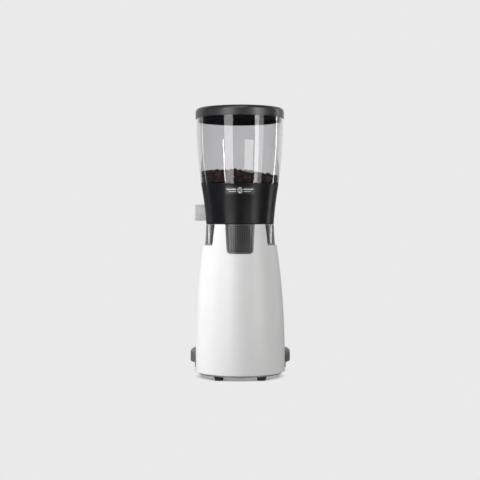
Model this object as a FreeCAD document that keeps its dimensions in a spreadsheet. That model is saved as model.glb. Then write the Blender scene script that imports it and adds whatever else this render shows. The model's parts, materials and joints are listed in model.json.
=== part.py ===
"""Burr coffee grinder: a round tapered tower with flat burrs, a clear bean hopper and a grounds tray.

Every sub-part is drawn about the burr axis (x = y = 0) with z up from the bench. The last step moves
each one back by axis_y, so that the origin is under the middle of the whole machine. The operator
stands on the +Y side, where the fork, the chute and the controls are. The -Y side is the rear.
"""

import FreeCAD, Part
import math
import os
import re

import Sketcher

V = FreeCAD.Vector

SIZES = {
    # where the burr axis stands behind the middle of the machine
    "axis_y": -67.5,
    # small fits: a running clearance, a pressed fit and a bearing on its shaft
    "clearance": 0.1, "press_gap": 0.02, "running_fit": 0.03, "slide_gap": 0.06,
    # how far joined shapes run into each other, and how far a cutting shape stands clear of the skin
    "lap": 1, "beyond": 20,
    # rubber feet and the screws that hold them
    "foot_high": 8, "foot_top_r": 11, "foot_low_r": 9, "foot_bore_r": 2.6,
    "foot_recess_r": 5.4, "foot_recess": 3.5,
    "rear_foot_x": 48, "rear_foot_y": 76, "front_foot_x": 72, "front_foot_y": 176,
    "foot_screw_r": 2.5, "foot_screw_head_r": 4.6, "foot_screw_head": 2.4, "foot_screw_long": 8,
    # base casting: a round floor under the tower and a deck in front of it for the tray
    "floor_r": 96, "floor_thick": 4, "deck_y": 118, "deck_r": 110, "deck_top": 24, "deck_wall": 4,
    "foot_boss_r": 12, "tower_gap": 0.6, "tower_rib": 5, "vent_in": 60, "vent_long": 26, "vent_wide": 5,
    "gland_hole_r": 8, "gland_bore_r": 4, "gland_y": 30, "gland_lip": 3, "gland_long": 8,
    # grounds tray
    "tray_r": 120, "tray_top": 52.5, "tray_edge": 8, "tray_rim": 11, "tray_floor": 3.5, "tray_gap": 0.4,
    "tray_back_gap": 1.2, "tray_back_wall": 5,
    # tower casing: straight at the foot, then one long arc up to the neck
    "casing_r": 103, "casing_low": 12, "casing_tangent_z": 50, "casing_arc": 1823,
    "casing_top": 351.6, "casing_wall": 3, "casing_edge": 2, "window_low": 303.5, "window_half_angle": 42.5,
    # rear grille
    "grille_low": 285.3, "grille_high": 351.2, "grille_low_half": 30, "grille_high_half": 33.2,
    "grille_corner": 9, "grille_rim": 3.6, "grille_groove": 2.6, "grille_proud": 0.8,
    "grille_depth": 1.4, "grille_hole_r": 1.45, "grille_pitch_x": 5.3, "grille_pitch_z": 4.82,
    "grille_row_low": 293.6, "grille_gap": 0.25, "grille_rows": 12, "grille_columns": 9,
    "grille_taper": 0.008,
    # front cover on the operator's side
    "cover_half": 42, "cover_low": 62, "cover_high": 349.6, "cover_corner": 16, "cover_out": 2.2,
    "cover_in": 0.2,
    # portafilter fork
    "fork_half": 41, "fork_open": 31, "fork_back": 92, "fork_front": 172, "fork_y": 136,
    "fork_low": 230, "fork_thick": 7, "fork_lip": 6, "fork_lip_wide": 6, "fork_lip_thick": 5,
    "fork_lip_in": 2, "bracket_half": 24, "bracket_back": 80, "bracket_corner": 4,
    "bracket_low": 216, "bracket_high": 251, "bracket_front": 105, "fork_screw_x": 15,
    "fork_screw_z": 243, "fork_screw_r": 3, "fork_screw_head_r": 5.2, "fork_screw_head": 3.4,
    "fork_screw_end": 86, "socket_r": 2.2, "socket_floor": 1.2,
    # dose plunger that the portafilter pushes, and its microswitch
    "plunger_z": 272, "plunger_cap_r": 8, "plunger_r": 5, "plunger_back": 82, "plunger_cap": 99,
    "plunger_front": 106, "plunger_edge": 2, "plunger_room": 3, "switch_half": 10, "switch_high": 9,
    "switch_back": 64, "switch_front": 76, "lever_half": 3, "lever_thick": 1,
    # chute
    "chute_half": 18, "chute_low": 319, "chute_high": 345, "chute_wall": 2.5, "chute_back": 61,
    "chute_front": 110, "chute_room": 1.2,
    "hood_top": 349, "hood_low": 289, "hood_top_half": 27, "hood_top_back": 84, "hood_top_front": 150,
    "hood_low_half": 16, "hood_low_back": 112, "hood_low_front": 144, "hood_corner": 12,
    # motor
    "post_r": 6, "post_at": 57, "motor_r": 63, "shield_low": 70, "shield_wall": 3.8, "shield_floor": 8,
    "shield_vents": 10, "shield_vent_in": 24, "shield_vent_out": 46, "shield_vent_wide": 5,
    "stator_low": 120, "stator_high": 190, "stator_r": 62.6, "stator_bore": 36, "shield_high": 238,
    "winding_in": 40, "winding_out": 51, "winding_high": 17, "winding_round": 5, "tie_at": 55.2,
    "tie_r": 2.4, "tie_head_r": 3.8, "tie_head": 3.2, "rotor_r": 35.4, "shaft_r": 10,
    "journal_r": 7.5, "shaft_low": 37, "shaft_high": 344, "shaft_step": 3, "rotor_bevel": 4,
    "rotor_in": 2, "rotor_out": 6, "bearing_r": 17.5, "bearing_wide": 11, "bearing_lip": 2,
    "bearing_boss": 4, "bearing_wall": 7, "race_wide": 2.6, "race_groove": 0.6,
    "lower_bearing_z": 64, "upper_bearing_z": 302, "fan_low": 40, "fan_high": 56, "fan_r": 46,
    "fan_hub_r": 12, "fan_blades": 9, "fan_blade": 1.8, "fan_disc": 2,
    # electrical parts
    "cap_r": 16, "cap_at": 57.4, "cap_low": 15, "cap_high": 92, "cap_cup_r": 17.8, "cap_cup_high": 27,
    "cap_edge": 2, "tag_at": 6, "tag_half": 3, "tag_thick": 0.8, "tag_high": 8,
    "board_half": 29, "board_y": 84, "board_low": 108, "board_high": 172, "board_thick": 1.6,
    "board_edge": 4, "relay_wide": 20, "relay_high": 24, "relay_deep": 14, "sink_wide": 20,
    "sink_high": 26, "sink_deep": 12, "sink_down": 8, "terminal_high": 4.5, "terminal_deep": 9,
    # grinding chamber with cooling fins
    "flange_r": 62, "flange_high": 246, "flange_land": 7, "flange_bolt_at": 59,
    "flange_bolt_r": 2, "flange_bolt_head_r": 2.8, "flange_bolt_head": 2.6, "flange_bolt_low": 231,
    "neck_r": 48, "neck_bore": 42, "chamber_r": 60,
    "skirt_r": 81.4, "skirt_low": 298.5, "skirt_high": 307.5, "chamber_high": 366, "land_r": 53,
    "land_high": 371.8, "guide_r": 50, "ledge": 346, "burr_room_r": 46, "room_floor": 322,
    "shaft_hole_r": 9, "outlet_half": 15, "outlet_high": 342, "fin_thick": 3.2, "fin_pitch": 15.6,
    "fin_low_r": 80.6, "fin_high_r": 78.2, "fin_high": 351.3, "boss_low": 358, "boss_at": 64,
    "boss_r": 7, "pillar_r": 4, "flange_step": 6, "neck_roof": 8, "neck_edge": 2, "shelf_back": 42,
    "shelf_margin": 2, "outlet_back": 36, "post_x": 70.5, "post_y": 24.5, "collar_post_r": 2.2,
    # burrs and their carriers
    "burr_r": 32, "burr_bore": 18.5, "groove_count": 24, "groove_at": 4, "groove_wide": 1.6,
    "groove_deep": 1.2, "feed_deep": 4, "feed_taper": 5,
    "burr_thick": 8, "burr_gap": 0.3, "lower_burr_z": 338,
    "lower_carrier_z": 326, "lower_carrier_r": 40, "hub_r": 15, "hub_low": 323, "sweeper_r": 45,
    "sweeper_thick": 3, "burr_screw_at": 27, "burr_screw_r": 2, "burr_screw_head_r": 3.4,
    "burr_screw_head": 2, "burr_screw_seat": 4, "burr_screw_grip": 10,
    "carrier_flange_high": 368, "carrier_neck_r": 44, "carrier_high": 386, "feed_r": 19,
    "key_wide": 6, "key_deep": 2, "key_root": 3, "carrier_wall": 3, "carrier_floor": 4,
    "sweeper_down": 2, "spring_wire_r": 0.3, "spring_r": 1.45, "spring_turns": 5,
    # adjusting ring, driven by a worm
    "ring_low": 372, "ring_high": 387, "tooth_count": 80, "module": 1.3,
    "tooth_root": 1.6, "tooth_tip": 1.2, "worm_y": 60,
    "worm_z": 379.5, "worm_root_r": 6.3, "worm_tip_r": 9.1, "worm_half": 15, "worm_shaft_r": 4,
    "worm_shaft_high": 25, "worm_shaft_low": -96, "bracket_ear_in": 18, "bracket_ear_out": 24,
    "worm_bracket_back": 54, "worm_bracket_front": 70, "worm_bracket_thick": 3,
    "worm_bracket_high": 388, "thread_root": 0.62, "thread_tip": 0.2, "thread_sink": 0.5,
    "thread_end": 3, "bracket_screw_r": 1.5, "bracket_screw_x": 8, "bracket_screw_y": 63,
    "retainer_thick": 1.6, "retainer_r": 50, "retainer_gap": 0.6, "retainer_arm_half": 4,
    # grind knob
    "knob_r": 19.2, "knob_in": -71.6, "knob_out": -107.4, "knob_cap": 3, "knob_edge": 1.2,
    "flute_count": 48, "flute_deep": 0.7, "knob_bore_r": 4.02,
    # collar round the burr head
    "collar_low": 351.7, "collar_high": 444.3, "collar_arc": 800, "collar_arc_z": 300,
    "collar_arc_r": 876.5, "collar_wall": 2.6, "collar_lip_r": 73, "collar_edge": 2,
    "badge_half": 33, "badge_low": 419.5, "badge_high": 436.5, "badge_out": 0.9, "badge_corner": 5,
    "shaft_play": 1.5,
    # control panel on the collar
    "panel_half": 35, "panel_low": 401, "panel_high": 436, "panel_corner": 8, "panel_out": 1.4,
    "display_half": 12, "display_low": 409, "display_high": 428, "button_x": 23.5, "button_z": 418.5,
    "button_r": 6, "button_front": 86.6, "button_back": 75, "button_gap": 0.3, "button_edge": 1,
    "glass_in": 0.4, "glass_gap": 0.15, "glass_corner": 1, "card_half": 32, "card_back": 70,
    "card_thick": 1.6, "card_low": 402.5, "card_high": 423, "screen_thick": 2.4, "switch_pad": 3,
    "switch_pad_thick": 1.3,
    # hopper seat, gate and hopper
    "seat_low": 389.5, "seat_r": 46, "seat_bore": 33.2, "seat_flange_low": 397,
    "seat_flange_high": 400, "seat_flange_r": 79.4, "seat_chamfer": 6, "seat_rise": 4,
    "gate_low": 392.3, "gate_thick": 2,
    "gate_half": 35, "gate_back": -35, "gate_stem_half": 15, "gate_tab_back": 84.5, "gate_tab": 95,
    "gate_slot_gap": 0.3, "gate_tab_rise": 4, "gate_tab_drop": 1.5, "gate_tab_edge": 1.6,
    "hopper_top": 600, "hopper_r": 100.4, "hopper_tangent_z": 597, "hopper_arc": 1111,
    "hopper_shoulder": 444.7, "hopper_skirt_r": 85.2, "hopper_skirt_low": 439, "hopper_wall": 3,
    "spigot_r": 32.8, "spigot_top": 405, "spigot_low": 396.2, "funnel_wall": 2.5,
    "bean_gap": 0.4, "bean_rise": 0.7, "bean_top": 470, "bean_crown": 4,
    # lid
    "lid_r": 102.4, "lid_low": 597, "lid_top": 620, "lid_round": 9, "lid_rim_in": 100.75,
    "lid_rest": 600.15, "lid_plug_r": 96.8, "lid_plug_wall": 2.8, "lid_plug_low": 589, "lid_thick": 4.5,
    # power rocker below the fork
    "rocker_y": 99, "rocker_z": 95, "rocker_half": 10, "rocker_tilt": 8, "bezel_half": 14,
    "bezel_low": 84, "bezel_high": 106, "bezel_back": 92, "bezel_front": 106, "bezel_open": 9.2,
    "bezel_floor": 94, "bezel_corner": 3, "bezel_gap": 0.2, "rocker_gap": 0.4, "rocker_back": -3,
    "rocker_back_half": 5.5, "rocker_tip": 5.5, "rocker_tip_half": 7.8, "rocker_dip": 4,
    "rocker_pin_r": 1.5, "rocker_pin_out": 2,
}

doc = FreeCAD.newDocument("BurrGrinder")
sheet = doc.addObject("Spreadsheet::Sheet", "Dims")
for row, (alias, number) in enumerate(SIZES.items(), start=1):
    sheet.set(f"A{row}", alias)
    sheet.set(f"B{row}", str(number))
    sheet.setAlias(f"B{row}", alias)
doc.recompute()

TURNS = {
    "z": FreeCAD.Rotation(),
    "x": FreeCAD.Rotation(V(0, 1, 0), 90),
    "y": FreeCAD.Rotation(V(1, 0, 0), -90),
}
SIDES = {"left": "-", "right": ""}
ENDS = {"rear": "-", "front": ""}
NODES = []


def bound(text):
    """The text as a FreeCAD expression, with each alias looked up in the sheet."""
    return re.sub(r"[a-z_]\w*", lambda m: ("Dims." if m.group() in SIZES else "") + m.group(), str(text))


def value(text):
    return float(sheet.evalExpression(bound(text)))


def bind(thing, **texts):
    for name, text in texts.items():
        thing.setExpression(name, bound(text))


def place(thing, at, axis="z"):
    thing.Placement = FreeCAD.Placement(V(*map(value, at)), TURNS[axis])
    for name, text in zip("xyz", at):
        thing.setExpression(f"Placement.Base.{name}", bound(text))
    return thing


def add(kind, name):
    return doc.addObject(kind, name)


# ---- Part primitives and booleans, with their sizes bound to the sheet


def box(name, x_low, x_high, y_low, y_high, z_low, z_high):
    made = add("Part::Box", name)
    bind(made, Length=f"({x_high}) - ({x_low})", Width=f"({y_high}) - ({y_low})")
    bind(made, Height=f"({z_high}) - ({z_low})")
    return place(made, (x_low, y_low, z_low))


def rod(name, radius, at, length, axis="z"):
    """A cylinder that starts at a point and runs along +axis."""
    made = add("Part::Cylinder", name)
    bind(made, Radius=radius, Height=length)
    return place(made, at, axis)


def frustum(name, low_radius, high_radius, at, length):
    made = add("Part::Cone", name)
    bind(made, Radius1=low_radius, Radius2=high_radius, Height=length)
    return place(made, at)


def turned_about_z(thing, degrees):
    """Turns a primitive about the z axis through the origin."""
    turn = FreeCAD.Rotation(V(0, 0, 1), degrees)
    held = add("Part::Compound", thing.Name + "_turned")
    held.Links = [thing]
    held.Placement = FreeCAD.Placement(V(), turn)
    return held


def fuse(name, *things):
    made = add("Part::MultiFuse", name)
    made.Shapes = list(things)
    return made


def common(name, *things):
    made = add("Part::MultiCommon", name)
    made.Shapes = list(things)
    return made


def group(name, things):
    made = add("Part::Compound", name)
    made.Links = list(things)
    return made


def cut(name, base, *tools):
    made = add("Part::Cut", name)
    made.Base = base
    made.Tool = tools[0] if len(tools) == 1 else fuse(name + "_tools", *tools)
    return made


def rounded(name, base, radius, wanted):
    """Base with its edges for which wanted(edge) is true rounded to a radius."""
    doc.recompute()
    made = add("Part::Fillet", name)
    made.Base = base
    size = value(radius)
    made.Edges = [(i, size, size) for i, e in enumerate(base.Shape.Edges, start=1) if wanted(e)]
    return made


def node(name, thing):
    """Names a finished sub-part and moves it from the burr axis to the machine's own frame."""
    thing.Label = name
    bind(thing, **{"Placement.Base.y": "axis_y"})
    NODES.append(thing)
    return thing


# ---- PartDesign bodies from sketches


def outline(sketch, points):
    """Draws a closed outline. A point is (x, y), or (x, y, radius) where an arc starts. The arc's
    centre is on the left of the way to the next point, or on the right if the radius is given as
    a pair (radius, 'right')."""
    spots = [V(value(p[0]), value(p[1]), 0) for p in points]
    ends = []
    for i, point in enumerate(points):
        here, there = spots[i], spots[(i + 1) % len(points)]
        if len(point) == 2:
            ends.append((sketch.addGeometry(Part.LineSegment(here, there), False), 1, 2))
            continue
        right = isinstance(point[2], tuple)
        text = point[2][0] if right else point[2]
        radius = value(text)
        chord = there - here
        side = V(-chord.y, chord.x, 0).normalize() * (-1 if right else 1)
        middle = (here + there) * 0.5
        centre = middle + side * math.sqrt(max(radius**2 - (chord.Length / 2) ** 2, 0))
        first, last = (there, here) if right else (here, there)
        a, b = (math.atan2(p.y - centre.y, p.x - centre.x) for p in (first, last))
        if b < a:
            b += 2 * math.pi
        circle = Part.Circle(centre, V(0, 0, 1), radius)
        geometry = sketch.addGeometry(Part.ArcOfCircle(circle, a, b), False)
        index = sketch.addConstraint(Sketcher.Constraint("Radius", geometry, radius))
        sketch.setExpression(f"Constraints[{index}]", bound(text))
        ends.append((geometry, 2, 1) if right else (geometry, 1, 2))
    for i, point in enumerate(points):
        geometry, start, _ = ends[i]
        before, _, finish = ends[i - 1]
        sketch.addConstraint(Sketcher.Constraint("Coincident", before, finish, geometry, start))
        for kind, axis, number, text in (
            ("DistanceX", -2, spots[i].x, point[0]),
            ("DistanceY", -1, spots[i].y, point[1]),
        ):
            if abs(number) < 1e-9:
                sketch.addConstraint(Sketcher.Constraint("PointOnObject", geometry, start, axis))
            else:
                index = sketch.addConstraint(Sketcher.Constraint(kind, -1, 1, geometry, start, number))
                sketch.setExpression(f"Constraints[{index}]", bound(text))


def sketched(name, plane, points):
    """A new body with a sketch of the outline on one of its own origin planes."""
    body = add("PartDesign::Body", name)
    sketch = body.newObject("Sketcher::SketchObject", name + "_sketch")
    face = [f for f in body.Origin.OriginFeatures if f.Role == plane + "_Plane"][0]
    sketch.AttachmentSupport = [(face, "")]
    sketch.MapMode = "FlatFace"
    outline(sketch, points)
    return body, sketch


def turned(name, points):
    """A body turned about z from an outline of (radius, height) points."""
    body, sketch = sketched(name, "XZ", points)
    made = body.newObject("PartDesign::Revolution", name + "_turn")
    made.Profile = sketch
    made.ReferenceAxis = (sketch, ["V_Axis"])
    made.Angle = 360
    return body


def prism(name, points, length, to_front=False):
    """A body padded from an outline of (x, z) points, from the burr axis to the rear or the front."""
    body, sketch = sketched(name, "XZ", points)
    made = body.newObject("PartDesign::Pad", name + "_pad")
    made.Profile = sketch
    made.Reversed = to_front
    bind(made, Length=length)
    return body


def rounded_rectangle(x_low, x_high, y_low, y_high, corner):
    """Points of a rectangle with four round corners, anticlockwise."""
    return [
        (f"{x_low} + {corner}", y_low),
        (f"{x_high} - {corner}", y_low, corner),
        (x_high, f"{y_low} + {corner}"),
        (x_high, f"{y_high} - {corner}", corner),
        (f"{x_high} - {corner}", y_high),
        (f"{x_low} + {corner}", y_high, corner),
        (x_low, f"{y_high} - {corner}"),
        (x_low, f"{y_low} + {corner}", corner),
    ]


# ---- surfaces that several sub-parts follow


def casing_at(z, out="0"):
    """Radius of the casing's outside, moved out by some amount, at a height above its tangent."""
    return (
        f"casing_r - casing_arc + sqrt((casing_arc + ({out}))^2 - (({z}) - casing_tangent_z)^2)"
    )


def collar_at(z, out="0"):
    """Radius of the collar's outside, moved out by some amount, at a height."""
    return f"collar_arc_r - sqrt((collar_arc - ({out}))^2 - (({z}) - collar_arc_z)^2)"


def casing_skin(name, inner, outer, low, high):
    return turned(name, [
        (casing_at(low, inner), low),
        (casing_at(low, outer), low, f"casing_arc + ({outer})"),
        (casing_at(high, outer), high),
        (casing_at(high, inner), high, (f"casing_arc + ({inner})", "right")),
    ])


def collar_skin(name, inner, outer, low, high):
    return turned(name, [
        (collar_at(low, inner), low),
        (collar_at(low, outer), low, (f"collar_arc - ({outer})", "right")),
        (collar_at(high, outer), high),
        (collar_at(high, inner), high, f"collar_arc - ({inner})"),
    ])


# ---- base, feet and tray

FEET = {
    "rear_left": ("-rear_foot_x", "-rear_foot_y"),
    "rear_right": ("rear_foot_x", "-rear_foot_y"),
    "front_left": ("-front_foot_x", "front_foot_y"),
    "front_right": ("front_foot_x", "front_foot_y"),
}
BASE_VENT_ANGLES = (0, 20, 160, 180, 200, 340)


def feet():
    for corner, (x, y) in FEET.items():
        foot = turned("foot_turning_" + corner, [
            ("foot_bore_r", "foot_recess"),
            ("foot_recess_r", "foot_recess"),
            ("foot_recess_r", "0"),
            ("foot_low_r", "0"),
            ("foot_top_r", "foot_high"),
            ("foot_bore_r", "foot_high"),
        ])
        place(foot, (x, y, "0"))
        node("foot_" + corner, group("foot_made_" + corner, [foot]))


def foot_screws():
    screws = []
    for corner, (x, y) in FEET.items():
        head_low = "foot_recess - foot_screw_head"
        head = rod("screw_head_" + corner, "foot_screw_head_r", (x, y, head_low), "foot_screw_head")
        shank = rod("screw_shank_" + corner, "foot_screw_r", (x, y, "foot_recess"), "foot_screw_long")
        screws.append(fuse("foot_screw_" + corner, head, shank))
    node("foot_screws", group("foot_screw_set", screws))


def base_plate():
    floor = rod("base_floor", "floor_r", ("0", "0", "foot_high"), "floor_thick")
    deck = rod("base_deck", "deck_r", ("0", "deck_y", "foot_high"), "deck_top - foot_high")
    tower = rod("base_tower_room", "casing_r + tower_gap", ("0", "0", "casing_low"), "deck_top")
    hollow = cut(
        "base_hollow",
        rod("base_hollow_round", "deck_r - deck_wall", ("0", "deck_y", "0"), "deck_top - deck_wall"),
        rod("base_hollow_stop", "casing_r + tower_rib", ("0", "0", "0"), "deck_top"),
    )
    shell = cut("base_shell", deck, tower, hollow)
    bosses = [
        rod("base_boss_" + c, "foot_boss_r", (x, y, "foot_high"), "deck_top - foot_high - lap")
        for c, (x, y) in FEET.items() if c.startswith("front")
    ]
    solid = fuse("base_solid", floor, shell, *bosses)
    holes = [
        rod("base_hole_" + c, "foot_screw_r + clearance / 2", (x, y, "0"),
            "foot_recess + foot_screw_long + lap")
        for c, (x, y) in FEET.items()
    ]
    gland = rod("base_gland_hole", "gland_hole_r", ("0", "-gland_y", "0"), "deck_top")
    vents = [
        turned_about_z(
            box(f"base_vent_{angle}", "vent_in", "vent_in + vent_long", "-vent_wide / 2", "vent_wide / 2",
                "0", "deck_top"),
            angle,
        )
        for angle in BASE_VENT_ANGLES
    ]
    node("base_plate", cut("base_made", solid, gland, *holes, *vents))


def cable_gland():
    """The bushed outlet in the floor where the mains cord would leave."""
    node("cable_gland", turned("gland_turning", [
        ("gland_bore_r", "foot_high - gland_lip"),
        ("gland_hole_r + gland_lip", "foot_high - gland_lip"),
        ("gland_hole_r + gland_lip", "foot_high"),
        ("gland_hole_r - clearance", "foot_high"),
        ("gland_hole_r - clearance", "foot_high + floor_thick + gland_long"),
        ("gland_bore_r", "foot_high + floor_thick + gland_long"),
    ]))
    bind(NODES[-1], **{"Placement.Base.y": "axis_y - gland_y"})


def grounds_tray():
    low = "deck_top + tray_gap / 2"
    disc = rod("tray_disc", "tray_r", ("0", "deck_y", low), f"tray_top - ({low})")
    soft = rounded("tray_soft", disc, "tray_edge", lambda e: e.BoundBox.ZMin > value("tray_top - lap"))
    back = rod("tray_back", "casing_r + tray_back_gap", ("0", "0", "0"), "tray_top + beyond")
    basin = cut(
        "tray_basin",
        rod("tray_basin_round", "tray_r - tray_rim", ("0", "deck_y", f"{low} + tray_floor"), "tray_top"),
        rod("tray_basin_back", "casing_r + tray_back_gap + tray_back_wall", ("0", "0", "0"),
            "tray_top * 2"),
    )
    node("grounds_tray", cut("tray_made", soft, back, basin))


# ---- casing, grille and front cover


def grille_outline(inset):
    """The grille's outline, open at the top, with its sides and round lower corners moved in."""
    low = f"grille_low + ({inset})"
    corner = f"grille_corner - ({inset})"
    half = f"grille_low_half - ({inset})"
    top = f"grille_high_half - ({inset})"
    return [
        (f"-({half}) + {corner}", low),
        (f"{half} - ({corner})", low, corner),
        (half, f"{low} + {corner}"),
        (top, "grille_high"),
        (f"-({top})", "grille_high"),
        (f"-({half})", f"{low} + {corner}", corner),
    ]


def casing():
    shell = turned("casing_shell", [
        ("casing_r - casing_wall", "casing_low"),
        ("casing_r - casing_edge", "casing_low", "casing_edge"),
        ("casing_r", "casing_low + casing_edge"),
        ("casing_r", "casing_tangent_z", "casing_arc"),
        (casing_at("casing_top"), "casing_top"),
        (casing_at("casing_top", "-casing_wall"), "casing_top", ("casing_arc - casing_wall", "right")),
        ("casing_r - casing_wall", "casing_tangent_z"),
    ])
    windows = []
    for side, start in (("right", "-window_half_angle"), ("left", "180 - window_half_angle")):
        wedge = add("Part::Cylinder", "window_" + side)
        bind(wedge, Radius="casing_r + beyond", Height="casing_top", Angle="2 * window_half_angle")
        wedge.Placement = FreeCAD.Placement(V(), FreeCAD.Rotation(V(0, 0, 1), value(start)))
        bind(wedge, **{"Placement.Base.z": "window_low"})
        windows.append(wedge)
    grille = prism("casing_grille_cut", grille_outline("-grille_gap"), "casing_r + beyond")
    top_slot = box("casing_grille_top", "-grille_high_half - grille_gap", "grille_high_half + grille_gap",
                   "-casing_r", "0", "grille_high", "casing_top + lap")
    chute = box("casing_chute_cut", "-chute_half - chute_room", "chute_half + chute_room", "0", "casing_r",
                "chute_low - chute_room", "chute_high + chute_room")
    plunger = rod("casing_plunger_cut", "plunger_r + plunger_room", ("0", "0", "plunger_z"), "casing_r", "y")
    screws = fork_screw_holes("casing")
    rocker = bezel_cut("casing")
    open_shell = cut("casing_open", shell, *windows, grille, top_slot, chute, rocker)
    node("casing", cut("casing_made", open_shell, plunger, *screws))


def rear_grille():
    low, high = "grille_low - beyond", "casing_top - clearance"
    rim = common("grille_rim_made",
                 casing_skin("grille_rim_skin", "-casing_wall", "grille_proud", low, high),
                 prism("grille_outer", grille_outline("0"), "casing_r + beyond"))
    groove = common("grille_groove_made",
                    casing_skin("grille_groove_skin", "grille_proud - 2 * grille_depth",
                                "grille_proud + lap", low, "casing_top + lap"),
                    prism("grille_groove_outer", grille_outline("grille_rim"), "casing_r + beyond"))
    panel = common("grille_panel_made",
                   casing_skin("grille_panel_skin", "-casing_wall", "0", low, high),
                   prism("grille_panel_outer", grille_outline("grille_rim + grille_groove"),
                         "casing_r + beyond"))
    rows, columns = int(value("grille_rows")), int(value("grille_columns"))
    holes = []
    for row in range(rows):
        narrowing = f"(1 - grille_taper * {rows - 1 - row})"
        for column in range(columns):
            z = f"grille_row_low + {row} * grille_pitch_z"
            x = f"({column} - (grille_columns - 1) / 2) * grille_pitch_x * {narrowing}"
            holes.append(rod(f"grille_hole_{row}_{column}", "grille_hole_r", (x, "-casing_r", z),
                             "casing_r", "y"))
    solid = fuse("grille_solid", cut("grille_frame", rim, groove), panel)
    node("rear_grille", cut("grille_made", solid, *holes))


def front_cover():
    skin = casing_skin("cover_skin", "cover_in", "cover_out", "cover_low - lap", "casing_top")
    shape = prism("cover_outline", rounded_rectangle("-cover_half", "cover_half", "cover_low", "cover_high",
                                                     "cover_corner"), "casing_r + beyond", to_front=True)
    chute = box("cover_chute_cut", "-chute_half - chute_room / 2", "chute_half + chute_room / 2", "0",
                "casing_r + beyond", "chute_low - chute_room / 2", "chute_high + chute_room / 2")
    plunger = rod("cover_plunger_cut", "plunger_r + 3 * clearance", ("0", "0", "plunger_z"),
                  "casing_r + beyond", "y")
    blank = common("cover_blank", skin, shape)
    screws = fork_screw_holes("cover")
    node("front_cover", cut("cover_made", blank, chute, plunger, bezel_cut("cover"), *screws))


# ---- fork, plunger, chute and power rocker


def fork_screw_holes(owner):
    return [
        rod(f"{owner}_screw_hole_{side}", "fork_screw_r + clearance",
            (f"{sign}fork_screw_x", "0", "fork_screw_z"), "casing_r + beyond", "y")
        for side, sign in SIDES.items()
    ]


def bezel_cut(owner):
    """The opening that the power switch's bezel sits in."""
    return box(owner + "_bezel_cut", "-bezel_half - bezel_gap", "bezel_half + bezel_gap", "0",
               "casing_r + beyond", "bezel_low - bezel_gap", "bezel_high + bezel_gap")


def portafilter_fork():
    slab = box("fork_slab", "-fork_half", "fork_half", "fork_back", "fork_front", "fork_low",
               "fork_low + fork_thick")
    slab = rounded("fork_slab_soft", slab, "fork_lip_wide",
                   lambda e: e.BoundBox.ZLength > 1 and e.BoundBox.YMin > value("fork_front - lap"))
    gap = fuse("fork_gap",
               rod("fork_gap_round", "fork_open", ("0", "fork_y", "0"), "casing_top"),
               box("fork_gap_open", "-fork_open", "fork_open", "fork_y", "fork_front + lap", "0",
                   "casing_top"))
    lips = [
        box("fork_lip_" + side, low, f"{low} + fork_lip_wide", "fork_front - fork_lip_in - fork_lip_thick",
            "fork_front - fork_lip_in", "fork_low + fork_thick - lap", "fork_low + fork_thick + fork_lip")
        for side, low in (("left", "-fork_half + fork_lip_in"),
                          ("right", "fork_half - fork_lip_in - fork_lip_wide"))
    ]
    block = box("fork_block", "-bracket_half", "bracket_half", "bracket_back", "bracket_front",
                "bracket_low", "bracket_high")
    block = rounded("fork_block_soft", block, "bracket_corner", lambda e: e.BoundBox.YLength > 5)
    low, high, out = "bracket_low - lap", "bracket_high + lap", "cover_out + clearance"
    back = turned("fork_back_room", [
        ("0", low),
        (casing_at(low, out), low, f"casing_arc + {out}"),
        (casing_at(high, out), high),
        ("0", high),
    ])
    solid = fuse("fork_solid", cut("fork_arms", slab, gap), block, *lips)
    node("portafilter_fork", cut("fork_made", solid, back, *fork_screw_holes("fork")))


def fork_screws():
    screws = []
    for side, sign in SIDES.items():
        x = sign + "fork_screw_x"
        shank = rod("fork_shank_" + side, "fork_screw_r", (x, "fork_screw_end", "fork_screw_z"),
                    "bracket_front - fork_screw_end", "y")
        head = rod("fork_head_" + side, "fork_screw_head_r", (x, "bracket_front", "fork_screw_z"),
                   "fork_screw_head", "y")
        socket = rod("fork_socket_" + side, "socket_r", (x, "bracket_front + socket_floor", "fork_screw_z"),
                     "fork_screw_head", "y")
        screws.append(cut("fork_screw_" + side, fuse("fork_screw_solid_" + side, shank, head), socket))
    node("fork_screws", group("fork_screw_set", screws))


def dose_plunger():
    stem = rod("plunger_stem", "plunger_r", ("0", "plunger_back", "plunger_z"),
               "plunger_cap - plunger_back", "y")
    cap = rod("plunger_cap_round", "plunger_cap_r", ("0", "plunger_cap", "plunger_z"),
              "plunger_front - plunger_cap", "y")
    cap = rounded("plunger_cap_soft", cap, "plunger_edge",
                  lambda e: e.BoundBox.YMin > value("plunger_front - clearance"))
    node("dose_plunger", fuse("plunger_made", stem, cap))


def dose_microswitch():
    body = box("microswitch_body", "-switch_half", "switch_half", "switch_back", "switch_front",
               "plunger_z - switch_high", "plunger_z + switch_high")
    lever = box("microswitch_lever", "-lever_half", "lever_half", "switch_front",
                "switch_front + lever_thick", "plunger_z - switch_high + lap",
                "plunger_z + switch_high - 2 * lap")
    node("dose_microswitch", fuse("microswitch_made", body, lever))


def hood(name, inset, low, high):
    """The chute's hood: a rounded rectangle at the top that narrows to the spout."""
    sections = []
    for level, z, half, back, front in (
        ("low", low, "hood_low_half", "hood_low_back", "hood_low_front"),
        ("high", high, "hood_top_half", "hood_top_back", "hood_top_front"),
    ):
        sketch = add("Sketcher::SketchObject", f"{name}_{level}")
        place(sketch, ("0", "0", z))
        outline(sketch, rounded_rectangle(f"-{half} + {inset}", f"{half} - {inset}", f"{back} + {inset}",
                                          f"{front} - {inset}", f"(hood_corner - {inset})"))
        sections.append(sketch)
    made = add("Part::Loft", name)
    made.Sections = sections
    made.Solid = True
    made.Ruled = True
    return made


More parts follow.
